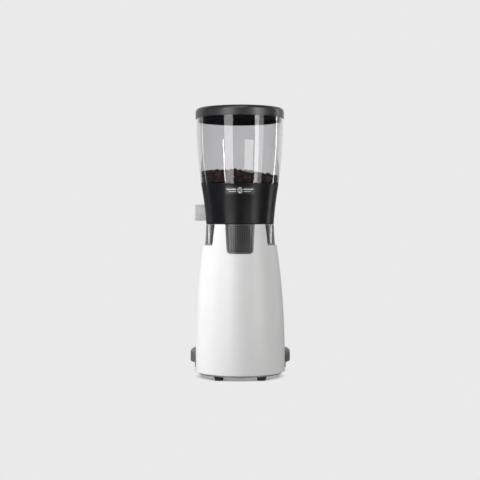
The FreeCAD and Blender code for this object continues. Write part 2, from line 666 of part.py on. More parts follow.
def dosing_chute():
    duct = box("chute_duct", "-chute_half", "chute_half", "chute_back", "chute_front", "chute_low",
               "chute_high")
    duct_room = box("chute_duct_room", "-chute_half + chute_wall", "chute_half - chute_wall",
                    "chute_back - lap", "chute_front - chute_wall", "chute_low + chute_wall",
                    "chute_high - chute_wall")
    outer = fuse("chute_outer", duct, hood("hood_outer", "0", "hood_low", "hood_top"))
    inner = fuse("chute_inner", duct_room,
                 hood("hood_inner", "chute_wall", "hood_low - press_gap", "hood_top - chute_wall"))
    node("dosing_chute", cut("chute_made", outer, inner))


def power_rocker():
    bezel = box("bezel_block", "-bezel_half", "bezel_half", "bezel_back", "bezel_front", "bezel_low",
                "bezel_high")
    bezel = rounded("bezel_soft", bezel, "bezel_corner", lambda e: e.BoundBox.YLength > 5)
    opening = box("bezel_opening", "-rocker_half - rocker_gap", "rocker_half + rocker_gap", "bezel_floor",
                  "bezel_front + lap", "rocker_z - bezel_open", "rocker_z + bezel_open")
    pin_half = "(rocker_half + rocker_pin_out)"
    pin_hole = rod("bezel_pin_hole", "rocker_pin_r + clearance",
                   (f"-{pin_half} - clearance", "rocker_y", "rocker_z"), f"2 * ({pin_half} + clearance)",
                   "x")
    node("switch_bezel", cut("bezel_made", bezel, opening, pin_hole))
    key = add("PartDesign::Body", "rocker_body")
    sketch = key.newObject("Sketcher::SketchObject", "rocker_sketch")
    side = [f for f in key.Origin.OriginFeatures if f.Role == "YZ_Plane"][0]
    sketch.AttachmentSupport = [(side, "")]
    sketch.MapMode = "FlatFace"
    outline(sketch, [
        ("rocker_back", "-rocker_back_half"),
        ("rocker_tip", "-rocker_tip_half"),
        ("rocker_dip", "0"),
        ("rocker_tip", "rocker_tip_half"),
        ("rocker_back", "rocker_back_half"),
    ])
    pad = key.newObject("PartDesign::Pad", "rocker_pad")
    pad.Profile = sketch
    pad.Midplane = True
    bind(pad, Length="2 * rocker_half")
    key.Placement = FreeCAD.Placement(V(), FreeCAD.Rotation(V(1, 0, 0), value("rocker_tilt")))
    bind(key, **{"Placement.Base.y": "rocker_y", "Placement.Base.z": "rocker_z"})
    pin = rod("rocker_pin", "rocker_pin_r", (f"-{pin_half}", "rocker_y", "rocker_z"), f"2 * {pin_half}", "x")
    node("power_rocker", fuse("rocker_made", key, pin))


# ---- motor and electrical parts

QUARTERS = {"a": 45, "b": 135, "c": 225, "d": 315}


def on_circle(radius, degrees):
    return f"{radius} * cos({degrees} deg)", f"{radius} * sin({degrees} deg)"


def motor_posts():
    low = "foot_high + floor_thick"
    node("motor_posts", group("motor_post_set", [
        rod("motor_post_" + name, "post_r", (*on_circle("post_at", angle), low), f"shield_low - ({low})")
        for name, angle in QUARTERS.items()
    ]))


def tie_holes(owner):
    return [
        rod(f"{owner}_tie_{name}", "tie_r + clearance", (*on_circle("tie_at", angle), "shield_low - lap"),
            "shield_high - shield_low + 2 * lap")
        for name, angle in QUARTERS.items()
    ]


def motor_shields():
    lower = turned("lower_shield_turning", [
        ("shaft_hole_r", "lower_bearing_z - bearing_lip"),
        ("bearing_r + bearing_boss", "lower_bearing_z - bearing_lip"),
        ("bearing_r + bearing_boss", "shield_low"),
        ("motor_r", "shield_low"),
        ("motor_r", "stator_low"),
        ("motor_r - shield_wall", "stator_low"),
        ("motor_r - shield_wall", "shield_low + shield_floor"),
        ("bearing_r", "shield_low + shield_floor"),
        ("bearing_r", "lower_bearing_z"),
        ("shaft_hole_r", "lower_bearing_z"),
    ])
    upper = turned("upper_shield_turning", [
        ("motor_r - shield_wall", "stator_high"),
        ("motor_r", "stator_high"),
        ("motor_r", "shield_high"),
        ("shaft_r + shaft_step", "shield_high"),
        ("shaft_r + shaft_step", "shield_high - shield_floor"),
        ("motor_r - shield_wall", "shield_high - shield_floor"),
    ])
    count = int(value("shield_vents"))
    vents = [
        turned_about_z(
            box(f"upper_vent_{i}", "shield_vent_in", "shield_vent_out", "-shield_vent_wide / 2",
                "shield_vent_wide / 2", "shield_high - shield_floor - lap", "shield_high + lap"),
            360 * i / count,
        )
        for i in range(count)
    ]
    node("motor_lower_shield", cut("lower_shield_made", lower, *tie_holes("lower")))
    node("motor_upper_shield",
         cut("upper_shield_made", upper, *tie_holes("upper"), *flange_bolt_holes("upper"), *vents))


def stator():
    ring = cut("stator_ring",
               rod("stator_outside", "stator_r", ("0", "0", "stator_low + clearance / 2"),
                   "stator_high - stator_low - clearance"),
               rod("stator_inside", "stator_bore", ("0", "0", "stator_low"), "stator_high - stator_low"))
    node("stator_core", cut("stator_made", ring, *tie_holes("stator")))
    coils = []
    for end, low, high in (("lower", "stator_low - winding_high", "stator_low"),
                           ("upper", "stator_high", "stator_high + winding_high")):
        coils.append(turned("winding_" + end, rounded_rectangle("winding_in", "winding_out", low, high,
                                                                "winding_round")))
    node("stator_windings", group("winding_set", coils))


def motor_tie_bolts():
    bolts = []
    for name, angle in QUARTERS.items():
        x, y = on_circle("tie_at", angle)
        low, high = "shield_low + shield_floor", "shield_high - shield_floor"
        shank = rod("tie_shank_" + name, "tie_r", (x, y, low), f"{high} - ({low})")
        head = rod("tie_head_" + name, "tie_head_r", (x, y, low), "tie_head")
        nut = rod("tie_nut_" + name, "tie_head_r", (x, y, f"{high} - tie_head"), "tie_head")
        bolts.append(fuse("tie_bolt_" + name, shank, head, nut))
    node("motor_tie_bolts", group("tie_bolt_set", bolts))


def bearing(name, low):
    """A shielded ball bearing, with a groove on each face between its rings."""
    high = f"{low} + bearing_wide"
    node(name, turned(name + "_turning", [
        ("journal_r + running_fit", low),
        ("journal_r + race_wide", low),
        ("journal_r + race_wide", f"{low} + race_groove"),
        ("bearing_r - race_wide", f"{low} + race_groove"),
        ("bearing_r - race_wide", low),
        ("bearing_r - press_gap", low),
        ("bearing_r - press_gap", high),
        ("bearing_r - race_wide", high),
        ("bearing_r - race_wide", f"{high} - race_groove"),
        ("journal_r + race_wide", f"{high} - race_groove"),
        ("journal_r + race_wide", high),
        ("journal_r + running_fit", high),
    ]))


def rotor():
    node("motor_shaft", turned("shaft_turning", [
        ("0", "shaft_low"),
        ("journal_r", "shaft_low"),
        ("journal_r", "lower_bearing_z + bearing_wide + shaft_step"),
        ("shaft_r", "lower_bearing_z + bearing_wide + shaft_step"),
        ("shaft_r", "upper_bearing_z - 2 * shaft_step"),
        ("journal_r", "upper_bearing_z - 2 * shaft_step"),
        ("journal_r", "shaft_high"),
        ("0", "shaft_high"),
    ]))
    node("rotor_core", turned("rotor_turning", [
        ("shaft_r + press_gap", "stator_low + rotor_in"),
        ("rotor_r - rotor_bevel", "stator_low - rotor_out"),
        ("rotor_r", "stator_low + rotor_in"),
        ("rotor_r", "stator_high - rotor_in"),
        ("rotor_r - rotor_bevel", "stator_high + rotor_out"),
        ("shaft_r + press_gap", "stator_high - rotor_in"),
    ]))
    disc = rod("fan_disc_round", "fan_r", ("0", "0", "fan_high - fan_disc"), "fan_disc")
    hub = rod("fan_hub", "fan_hub_r", ("0", "0", "fan_low"), "fan_high - fan_low")
    count = int(value("fan_blades"))
    blades = [
        turned_about_z(
            box(f"fan_blade_{i}", "fan_hub_r - lap", "fan_r - lap", "-fan_blade / 2", "fan_blade / 2",
                "fan_low", "fan_high - fan_disc / 2"),
            360 * i / count,
        )
        for i in range(count)
    ]
    bore = rod("fan_bore", "journal_r + press_gap", ("0", "0", "fan_low - lap"), "fan_high")
    node("cooling_fan", cut("fan_made", fuse("fan_solid", disc, hub, *blades), bore))


def electrical_parts():
    can = rod("capacitor_can", "cap_r", ("cap_at", "cap_at", "cap_low"), "cap_high - cap_low")
    can = rounded("capacitor_soft", can, "cap_edge",
                  lambda e: e.BoundBox.ZMin > value("cap_high - clearance"))
    tags = [
        box("capacitor_tag_" + side, f"cap_at {sign} tag_at - tag_half", f"cap_at {sign} tag_at + tag_half",
            "cap_at - tag_thick / 2", "cap_at + tag_thick / 2", "cap_high", "cap_high + tag_high")
        for side, sign in (("left", "-"), ("right", "+"))
    ]
    node("run_capacitor", fuse("capacitor_made", can, *tags))
    cup_low = "foot_high + floor_thick"
    node("capacitor_cup", cut(
        "cup_made",
        rod("cup_outside", "cap_cup_r", ("cap_at", "cap_at", cup_low), f"cap_cup_high - ({cup_low})"),
        rod("cup_inside", "cap_r + clearance", ("cap_at", "cap_at", "cap_low"), "cap_high"),
    ))
    card = box("board_card", "-board_half", "board_half", "-board_y", "-board_y + board_thick", "board_low",
               "board_high")
    left, right, face = "-board_half + board_edge", "board_half - board_edge", "-board_y + board_thick"
    relay_low = "board_low + terminal_high + 2 * lap"
    relay = box("board_relay", left, f"{left} + relay_wide", face, f"{face} + relay_deep", relay_low,
                f"{relay_low} + relay_high")
    sink = box("board_sink", f"{right} - sink_wide", right, face, f"{face} + sink_deep",
               "board_high - sink_down - sink_high", "board_high - sink_down")
    terminals = box("board_terminals", left, right, face, f"{face} + terminal_deep", "board_low + lap",
                    "board_low + lap + terminal_high")
    node("power_board", fuse("power_board_made", card, relay, sink, terminals))


# ---- grinding chamber, burrs and adjustment

PILLARS = {"rear": 270, "right": 30, "left": 150}
# The third spring stands clear of the carrier's key at the rear.
SPRING_ANGLES = (30, 150, 295)
# Half widths of a tooth at its root and its tip, as shares of the pitch.
TOOTH_ROOT_SHARE = 0.31
TOOTH_TIP_SHARE = 0.13


def grind_chamber():
    core = turned("chamber_core", [
        ("flange_r - flange_step", "shield_high"),
        ("flange_r", "shield_high"),
        ("flange_r", "flange_high"),
        ("neck_r + flange_land", "flange_high"),
        ("neck_r", "flange_high + flange_step"),
        ("neck_r", "skirt_low - flange_step"),
        ("chamber_r", "skirt_low"),
        ("skirt_r", "skirt_low"),
        ("skirt_r", "skirt_high"),
        ("chamber_r", "skirt_high"),
        ("chamber_r", "chamber_high"),
        ("land_r", "chamber_high"),
        ("land_r", "land_high"),
        ("guide_r", "land_high"),
        ("guide_r", "ledge"),
        ("burr_room_r", "ledge"),
        ("burr_room_r", "room_floor"),
        ("shaft_hole_r", "room_floor"),
        ("shaft_hole_r", "upper_bearing_z + bearing_wide"),
        ("bearing_r", "upper_bearing_z + bearing_wide"),
        ("bearing_r", "upper_bearing_z"),
        ("bearing_r + bearing_wall", "upper_bearing_z"),
        ("neck_bore", "skirt_low - neck_roof"),
        ("neck_bore", "flange_high + neck_edge"),
        ("flange_r - flange_step", "flange_high - neck_edge"),
    ])
    blades = [
        turned_about_z(
            box(f"fin_{side}_{i}", "chamber_r - 2 * lap", "skirt_r", "-fin_thick / 2", "fin_thick / 2",
                "skirt_high - lap", "fin_high"),
            turn + i * value("fin_pitch"),
        )
        for side, turn in (("right", 0), ("left", 180))
        for i in range(-2, 3)
    ]
    fins = common("fins", fuse("fin_blades", *blades),
                  frustum("fin_envelope", "fin_low_r", "fin_high_r", ("0", "0", "skirt_high - lap"),
                          "fin_high - skirt_high + lap"))
    bosses = [
        rod("chamber_boss_" + name, "boss_r", (*on_circle("boss_at", angle), "boss_low"),
            "chamber_high - boss_low")
        for name, angle in PILLARS.items()
    ]
    shelf = box("worm_shelf", "-bracket_ear_out - shelf_margin", "bracket_ear_out + shelf_margin",
                "shelf_back", "worm_bracket_front", "boss_low", "chamber_high")
    room = rod("chamber_room", "guide_r", ("0", "0", "ledge"), "land_high")
    outlet = box("chamber_outlet", "-outlet_half", "outlet_half", "outlet_back", "chamber_r + lap",
                 "room_floor", "outlet_high")
    keyway = box("chamber_keyway", "-key_wide / 2 - slide_gap", "key_wide / 2 + slide_gap",
                 "-guide_r - key_deep - slide_gap", "-guide_r + key_root + lap", "ledge",
                 "land_high + lap")
    shelf_holes = worm_bracket_holes("shelf")
    solid = fuse("chamber_solid", core, fins, *bosses, cut("worm_shelf_cut", shelf, room))
    node("grind_chamber",
         cut("chamber_made", solid, outlet, keyway, *shelf_holes, *flange_bolt_holes("chamber")))


def flange_bolt_holes(owner):
    return [
        rod(f"{owner}_bolt_hole_{name}", "flange_bolt_r + clearance",
            (*on_circle("flange_bolt_at", angle + 45), "flange_bolt_low - lap"),
            "flange_high - flange_bolt_low + 2 * lap")
        for name, angle in QUARTERS.items()
    ]


def chamber_bolts():
    """Four bolts down through the chamber's flange into the motor's upper shield."""
    bolts = []
    for name, angle in QUARTERS.items():
        x, y = on_circle("flange_bolt_at", angle + 45)
        shank = rod("chamber_bolt_shank_" + name, "flange_bolt_r", (x, y, "flange_bolt_low"),
                    "flange_high - flange_bolt_low")
        head = rod("chamber_bolt_head_" + name, "flange_bolt_head_r", (x, y, "flange_high"),
                   "flange_bolt_head")
        bolts.append(fuse("chamber_bolt_" + name, shank, head))
    node("chamber_bolts", group("chamber_bolt_set", bolts))


def burr_screw_spots():
    return [on_circle("burr_screw_at", 90 + 120 * i) for i in range(3)]


def burr(name, low, teeth_up):
    """A flat burr: a steel ring with slanting cutting grooves and counterbored holes on its
    working face."""
    high = f"{low} + burr_thick"
    ring = turned(name + "_ring", [
        ("burr_bore", low),
        ("burr_r", low),
        ("burr_r", high),
        ("burr_bore", high),
    ])
    face = f"{high} - groove_deep" if teeth_up else f"{low} - 2 * groove_deep"
    grooves = []
    count = int(value("groove_count"))
    for i in range(count):
        slot = box(f"{name}_groove_{i}", "burr_bore - 2 * lap", "burr_r + 2 * lap", "groove_at",
                   "groove_at + groove_wide", face, f"{face} + 3 * groove_deep")
        grooves.append(turned_about_z(slot, 360 * i / count))
    narrow, wide = "burr_bore - lap", "burr_bore + feed_taper"
    feed = frustum(name + "_feed", narrow if teeth_up else wide, wide if teeth_up else narrow,
                   ("0", "0", f"{high} - feed_deep" if teeth_up else low), "feed_deep")
    seat = f"{low} + burr_screw_seat" if teeth_up else low
    holes = []
    for i, (x, y) in enumerate(burr_screw_spots()):
        holes.append(rod(f"{name}_hole_{i}", "burr_screw_r + clearance", (x, y, low), "burr_thick"))
        holes.append(rod(f"{name}_counterbore_{i}", "burr_screw_head_r + clearance", (x, y, seat),
                         "burr_thick - burr_screw_seat"))
    node(name, cut(name + "_made", ring, feed, *grooves, *holes))


def burr_screws(name, seat, down):
    """Three countersunk screws whose heads rest at a height and whose shanks go down or up."""
    screws = []
    for i, (x, y) in enumerate(burr_screw_spots()):
        shank = rod(f"{name}_shank_{i}", "burr_screw_r",
                    (x, y, f"{seat} - burr_screw_grip" if down else seat), "burr_screw_grip")
        head = rod(f"{name}_head_{i}", "burr_screw_head_r",
                   (x, y, seat if down else f"{seat} - burr_screw_head"), "burr_screw_head")
        screws.append(fuse(f"{name}_{i}", shank, head))
    node(name, group(name + "_set", screws))


def carrier_screw_holes(owner, low):
    return [
        rod(f"{owner}_screw_hole_{i}", "burr_screw_r + clearance", (x, y, low), "burr_screw_grip")
        for i, (x, y) in enumerate(burr_screw_spots())
    ]


def lower_burr_carrier():
    disc = turned("lower_carrier_disc", [
        ("journal_r + press_gap", "hub_low"),
        ("hub_r", "hub_low"),
        ("lower_carrier_r", "lower_carrier_z"),
        ("lower_carrier_r", "lower_burr_z - press_gap"),
        ("journal_r + press_gap", "lower_burr_z - press_gap"),
    ])
    paddles = [
        turned_about_z(
            box(f"sweeper_{angle}", "lower_carrier_r - 2 * lap", "sweeper_r", "-sweeper_thick / 2",
                "sweeper_thick / 2", "lower_carrier_z", "lower_burr_z - sweeper_down"),
            angle,
        )
        for angle in range(0, 360, 90)
    ]
    solid = fuse("lower_carrier_solid", disc, *paddles)
    holes = carrier_screw_holes("lower_carrier", "lower_burr_z - burr_screw_grip + burr_screw_seat - lap")
    node("lower_burr_carrier", cut("lower_carrier_made", solid, *holes))


def upper_burr_carrier():
    low = "lower_burr_z + 2 * burr_thick + burr_gap"
    body = turned("upper_carrier_turning", [
        ("feed_r", low),
        ("guide_r - slide_gap", low),
        ("guide_r - slide_gap", "carrier_flange_high"),
        ("carrier_neck_r", "carrier_flange_high"),
        ("carrier_neck_r", "carrier_high"),
        ("carrier_neck_r - carrier_wall", "carrier_high"),
        ("feed_r", f"{low} + carrier_floor"),
    ])
    key = box("carrier_key", "-key_wide / 2", "key_wide / 2", "-guide_r - key_deep", "-guide_r + key_root",
              f"{low} + lap", "carrier_flange_high - lap")
    solid = fuse("upper_carrier_solid", body, key)
    node("upper_burr_carrier", cut("upper_carrier_made", solid, *carrier_screw_holes("upper_carrier", low)))


def preload_springs():
    """Three small compression springs that hold the upper carrier up against its thread."""
    wire_r, coil_r = value("spring_wire_r"), value("spring_r")
    low = value("ledge + spring_wire_r + clearance / 2")
    high = value("lower_burr_z + 2 * burr_thick + burr_gap - spring_wire_r - clearance / 2")
    helix = Part.makeHelix((high - low) / value("spring_turns"), high - low, coil_r)
    profile = Part.Wire(Part.makeCircle(wire_r, V(coil_r, 0, 0), V(0, 1, 0)))
    coil = Part.Wire(helix.Edges).makePipeShell([profile], True, True)
    springs = []
    at = value("(guide_r + burr_room_r) / 2")
    for angle in map(math.radians, SPRING_ANGLES):
        spring = coil.copy()
        spring.translate(V(at * math.cos(angle), at * math.sin(angle), low))
        springs.append(spring)
    node("preload_springs", feature("preload_spring_set", Part.makeCompound(springs)))


def toothed(count, root_r, tip_r, thick):
    """A prism up from z = 0 with straight teeth round it. A gap is centred on the +Y side."""
    step = 2 * math.pi / count
    points = []
    for i in range(count):
        middle = math.pi / 2 + (i + 0.5) * step
        for radius, share in (
            (root_r, -TOOTH_ROOT_SHARE),
            (tip_r, -TOOTH_TIP_SHARE),
            (tip_r, TOOTH_TIP_SHARE),
            (root_r, TOOTH_ROOT_SHARE),
        ):
            angle = middle + share * step
            points.append(V(radius * math.cos(angle), radius * math.sin(angle), 0))
    return Part.Face(Part.makePolygon(points + points[:1])).extrude(V(0, 0, thick))


def feature(name, shape):
    made = add("Part::Feature", name)
    made.Shape = shape
    return made


def adjusting_ring():
    """Worm wheel that is also the nut of the upper carrier: straight teeth round a threaded ring."""
    pitch_r = value("tooth_count * module / 2")
    teeth = toothed(int(value("tooth_count")), pitch_r - value("tooth_root"), pitch_r + value("tooth_tip"),
                    value("ring_high - ring_low"))
    wheel = place(feature("ring_teeth", teeth), ("0", "0", "ring_low"))
    bore = rod("ring_bore", "carrier_neck_r + slide_gap", ("0", "0", "ring_low"), "ring_high - ring_low")
    node("adjusting_ring", cut("adjusting_ring_made", wheel, bore))


def worm_shaft():
    """A shaft along x with one trapezoid thread, which meshes with the adjusting ring."""
    pitch = math.pi * value("module")
    root_r, tip_r, half = value("worm_root_r"), value("worm_tip_r"), value("worm_half")
    reach = half - value("thread_end")
    helix = Part.makeHelix(pitch, 2 * reach, root_r)
    sunk_r = root_r - value("thread_sink")
    wide, narrow = value("thread_root * module"), value("thread_tip * module")
    profile = Part.makePolygon([
        V(sunk_r, 0, -wide),
        V(tip_r, 0, -narrow),
        V(tip_r, 0, narrow),
        V(sunk_r, 0, wide),
        V(sunk_r, 0, -wide),
    ])
    thread = Part.Wire(helix.Edges).makePipeShell([profile], True, True)
    # The helix starts on +x of its own frame. It is turned so that at mid length it faces the ring.
    thread.rotate(V(), V(0, 0, 1), 180 - 360 * reach / pitch)
    thread.translate(V(0, 0, -reach))
    core = Part.makeCylinder(root_r, 2 * half, V(0, 0, -half))
    slim = Part.makeCylinder(value("worm_shaft_r"), value("worm_shaft_high - worm_shaft_low"),
                             V(0, 0, value("worm_shaft_low")))
    worm = core.fuse([thread, slim])
    # Own frame z to machine x, own x to machine y.
    turn = FreeCAD.Rotation(V(0, 1, 0), V(0, 0, 1), V(1, 0, 0), "XZY")
    worm.Placement = FreeCAD.Placement(V(0, value("worm_y"), value("worm_z")), turn)
    node("worm_shaft", feature("worm_made", Part.makeCompound([worm])))


def worm_bracket_holes(owner):
    return [
        rod(f"{owner}_bracket_hole_{side}", "bracket_screw_r + clearance",
            (f"{sign}bracket_screw_x", "bracket_screw_y", "boss_low + lap"),
            "chamber_high + worm_bracket_thick - boss_low")
        for side, sign in SIDES.items()
    ]


def worm_bracket():
    top = "chamber_high + worm_bracket_thick"
    foot = box("bracket_foot", "-bracket_ear_out", "bracket_ear_out", "worm_bracket_back",
               "worm_bracket_front", "chamber_high", top)
    ears = [
        box("bracket_ear_" + side, low, high, "worm_bracket_back", "worm_bracket_front", "chamber_high",
            "worm_bracket_high")
        for side, low, high in (("left", "-bracket_ear_out", "-bracket_ear_in"),
                                ("right", "bracket_ear_in", "bracket_ear_out"))
    ]
    bore = rod("bracket_bore", "worm_shaft_r + clearance / 2",
               ("-bracket_ear_out - lap", "worm_y", "worm_z"), "2 * (bracket_ear_out + lap)", "x")
    node("worm_bracket", cut("bracket_made", fuse("bracket_solid", foot, *ears), bore,
                             *worm_bracket_holes("bracket")))
    screws = [
        rod("bracket_screw_" + side, "bracket_screw_r",
            (f"{sign}bracket_screw_x", "bracket_screw_y", "boss_low + 2 * lap"),
            f"{top} - boss_low - 2 * lap")
        for side, sign in SIDES.items()
    ]
    node("worm_bracket_screws", group("bracket_screw_set", screws))


def ring_retainer():
    """A thin ring over the worm wheel that stops it from rising."""
    low = "ring_high + clearance"
    ring = turned("retainer_turning", [
        ("carrier_neck_r + retainer_gap", low),
        ("retainer_r", low),
        ("retainer_r", f"{low} + retainer_thick"),
        ("carrier_neck_r + retainer_gap", f"{low} + retainer_thick"),
    ])
    arms = [
        turned_about_z(
            box("retainer_arm_" + name, "retainer_r - lap", "boss_at - pillar_r - clearance",
                "-retainer_arm_half", "retainer_arm_half", low, f"{low} + retainer_thick"),
            angle,
        )
        for name, angle in PILLARS.items()
    ]
    node("ring_retainer", fuse("retainer_made", ring, *arms))


def grind_knob():
    grip = toothed(int(value("flute_count")), value("knob_r - flute_deep"), value("knob_r"),
                   value("knob_in - knob_out - knob_cap"))
    grip = place(feature("knob_grip", grip), ("knob_out + knob_cap", "worm_y", "worm_z"), "x")
    cap = rod("knob_cap_round", "knob_r - flute_deep", ("knob_out", "worm_y", "worm_z"), "knob_cap", "x")
    cap = rounded("knob_cap_soft", cap, "knob_edge",
                  lambda e: e.BoundBox.XMax < value("knob_out + clearance") and e.BoundBox.YLength > 1)
    bore = rod("knob_bore", "knob_bore_r", ("worm_shaft_low - clearance", "worm_y", "worm_z"),
               "knob_in - worm_shaft_low + lap", "x")
    node("grind_knob", cut("knob_made", fuse("knob_solid", grip, cap), bore))


# ---- collar, controls, seat, gate, hopper and lid


def top_collar():
    shell = turned("collar_shell", [
        ("collar_lip_r", "collar_low"),
        (collar_at("collar_low") + " - collar_edge", "collar_low", "collar_edge"),
        (collar_at("collar_low + collar_edge"), "collar_low + collar_edge", ("collar_arc", "right")),
        (collar_at("collar_high"), "collar_high"),
        (collar_at("collar_high", "-collar_wall"), "collar_high", "collar_arc + collar_wall"),
        (collar_at("collar_low + collar_wall", "-collar_wall"), "collar_low + collar_wall"),
        ("collar_lip_r", "collar_low + collar_wall"),
    ])
    shaft = rod("collar_shaft_hole", "worm_shaft_r + shaft_play", ("-casing_r", "worm_y", "worm_z"),
                "casing_r", "x")
    slot = box("collar_gate_slot", "-gate_half - lap", "gate_half + lap", "0", "casing_r + beyond",
               "gate_low - lap", "gate_low + gate_thick + lap")
    display = box("collar_display_cut", "-display_half + lap", "display_half - lap", "0",
                  "casing_r + beyond", "display_low + lap", "display_high - lap")
    buttons = button_holes("collar")
    node("top_collar", cut("collar_made", shell, shaft, slot, display, *buttons))


def button_holes(owner):
    return [
        rod(f"{owner}_button_{side}", "button_r + button_gap", (f"{sign}button_x", "0", "button_z"),
            "casing_r + beyond", "y")
        for side, sign in SIDES.items()
    ]


def collar_badge():
    """A plain raised plate on the rear of the collar."""
    skin = collar_skin("badge_skin", "clearance / 2", "badge_out", "badge_low - lap", "badge_high + lap")
    shape = prism("badge_outline", rounded_rectangle("-badge_half", "badge_half", "badge_low", "badge_high",
                                                     "badge_corner"), "casing_r + beyond")
    node("collar_badge", common("badge_made", skin, shape))


def control_panel():
    skin = collar_skin("panel_skin", "clearance / 2", "panel_out", "panel_low - lap", "panel_high + lap")
    shape = prism("panel_outline", rounded_rectangle("-panel_half", "panel_half", "panel_low", "panel_high",
                                                     "panel_corner"), "casing_r + beyond", to_front=True)
    display = box("panel_display_cut", "-display_half", "display_half", "0", "casing_r + beyond",
                  "display_low", "display_high")
    node("control_panel",
         cut("panel_made", common("panel_blank", skin, shape), display, *button_holes("panel")))
    glass = collar_skin("display_skin", "clearance", "panel_out - glass_in", "display_low - lap",
                        "display_high + lap")
    pane = prism("display_outline",
                 rounded_rectangle("-display_half + glass_gap", "display_half - glass_gap",
                                   "display_low + glass_gap", "display_high - glass_gap", "glass_corner"),
                 "casing_r + beyond", to_front=True)
    node("display_window", common("display_made", glass, pane))
    face = "card_back + card_thick"
    card = box("control_card", "-card_half", "card_half", "card_back", face, "card_low", "card_high")
    screen = box("control_screen", "-display_half + 2 * lap", "display_half - 2 * lap", face,
                 f"{face} + screen_thick", "display_low", "card_high - lap")
    switches = [
        box("control_switch_" + side, f"{sign}button_x - switch_pad", f"{sign}button_x + switch_pad", face,
            f"{face} + switch_pad_thick", "button_z - switch_pad", "button_z + switch_pad")
        for side, sign in SIDES.items()
    ]
    node("control_board", fuse("control_board_made", card, screen, *switches))


def dose_buttons():
    for name, sign in (("single_dose_button", "-"), ("double_dose_button", "")):
        stem = rod(name + "_stem", "button_r", (f"{sign}button_x", "button_back", "button_z"),
                   "button_front - button_back", "y")
        cap = rounded(name + "_soft", stem, "button_edge",
                      lambda e: e.BoundBox.YMin > value("button_front - clearance"))
        node(name, group(name + "_made", [cap]))


def hopper_seat():
    ring = turned("seat_ring", [
        ("seat_bore", "seat_low"),
        ("seat_r", "seat_low"),
        ("seat_r", "seat_flange_low"),
        ("seat_flange_r", "seat_flange_low"),
        ("seat_flange_r", "seat_flange_high"),
        ("seat_r", "seat_flange_high"),
        ("seat_r - seat_chamfer", "seat_flange_high + seat_rise"),
        ("seat_bore", "seat_flange_high + seat_rise"),
    ])
    gap = "gate_slot_gap"
    blade = box("seat_blade_slot", f"-gate_half - {gap}", f"gate_half + {gap}", f"gate_back - {gap}",
                "casing_r", f"gate_low - {gap}", f"gate_low + gate_thick + {gap}")
    node("hopper_seat", cut("seat_made", ring, blade))
    pillars = [
        rod("seat_pillar_" + name, "pillar_r", (*on_circle("boss_at", angle), "chamber_high"),
            "seat_flange_low - chamber_high")
        for name, angle in PILLARS.items()
    ]
    posts = [
        rod(f"collar_post_{side}_{end}", "collar_post_r", (sign + "post_x", turn + "post_y", "skirt_high"),
            "collar_low - clearance - skirt_high")
        for side, sign in SIDES.items()
        for end, turn in ENDS.items()
    ]
    node("seat_pillars", group("pillar_set", pillars + posts))


def hopper_gate():
    blade = box("gate_blade", "-gate_half", "gate_half", "gate_back", "gate_half", "gate_low",
                "gate_low + gate_thick")
    stem = box("gate_stem", "-gate_stem_half", "gate_stem_half", "gate_half - lap", "gate_tab_back + lap",
               "gate_low", "gate_low + gate_thick")
    tab = box("gate_tab_block", "-gate_stem_half", "gate_stem_half", "gate_tab_back", "gate_tab",
              "gate_low - gate_tab_drop", "gate_low + gate_tab_rise")
    tab = rounded("gate_tab_soft", tab, "gate_tab_edge",
                  lambda e: e.BoundBox.YMin > value("gate_tab_back + lap"))
    node("hopper_gate", fuse("gate_made", blade, stem, tab))


def hopper_at(z, out="0"):
    """Radius of the hopper's outside, moved out by some amount, at a height below its tangent."""
    return f"hopper_r - hopper_arc + sqrt((hopper_arc + ({out}))^2 - (hopper_tangent_z - ({z}))^2)"


def hopper():
    node("hopper", turned("hopper_turning", [
        ("spigot_r - hopper_wall", "spigot_low"),
        ("spigot_r", "spigot_low"),
        ("spigot_r", "spigot_top"),
        ("hopper_skirt_r", "hopper_skirt_low"),
        ("hopper_skirt_r", "hopper_shoulder"),
        (hopper_at("hopper_shoulder"), "hopper_shoulder", "hopper_arc"),
        ("hopper_r", "hopper_tangent_z"),
        ("hopper_r", "hopper_top"),
        ("hopper_r - hopper_wall", "hopper_top"),
        ("hopper_r - hopper_wall", "hopper_tangent_z", ("hopper_arc - hopper_wall", "right")),
        (hopper_at("hopper_shoulder + hopper_wall", "-hopper_wall"), "hopper_shoulder + hopper_wall"),
        ("hopper_skirt_r - hopper_wall", "hopper_skirt_low + hopper_wall"),
        ("spigot_r - hopper_wall", "spigot_top + funnel_wall"),
    ]))


def coffee_beans():
    """The charge of beans, drawn as one plain solid that fills the hopper to a level."""
    inside = "-hopper_wall - bean_gap"
    shoulder = "hopper_shoulder + hopper_wall + lap"
    node("coffee_beans", turned("bean_turning", [
        ("0", "spigot_low + lap"),
        ("spigot_r - hopper_wall - bean_gap", "spigot_low + lap"),
        ("spigot_r - hopper_wall - bean_gap", "spigot_top + funnel_wall + bean_rise"),
        ("hopper_skirt_r - hopper_wall - bean_gap", "hopper_skirt_low + hopper_wall + bean_rise"),
        (hopper_at(shoulder, inside), shoulder, "hopper_arc - hopper_wall - bean_gap"),
        (hopper_at("bean_top", inside), "bean_top"),
        ("0", "bean_top + bean_crown"),
    ]))


def lid():
    node("lid", turned("lid_turning", [
        ("0", "lid_top - lid_thick"),
        ("lid_plug_r - lid_plug_wall", "lid_top - lid_thick"),
        ("lid_plug_r - lid_plug_wall", "lid_plug_low"),
        ("lid_plug_r", "lid_plug_low"),
        ("lid_plug_r", "lid_rest"),
        ("lid_rim_in", "lid_rest"),
        ("lid_rim_in", "lid_low"),
        ("lid_r", "lid_low"),
        ("lid_r", "lid_top - lid_round", "lid_round"),
        ("lid_r - lid_round", "lid_top"),
        ("0", "lid_top"),
    ]))


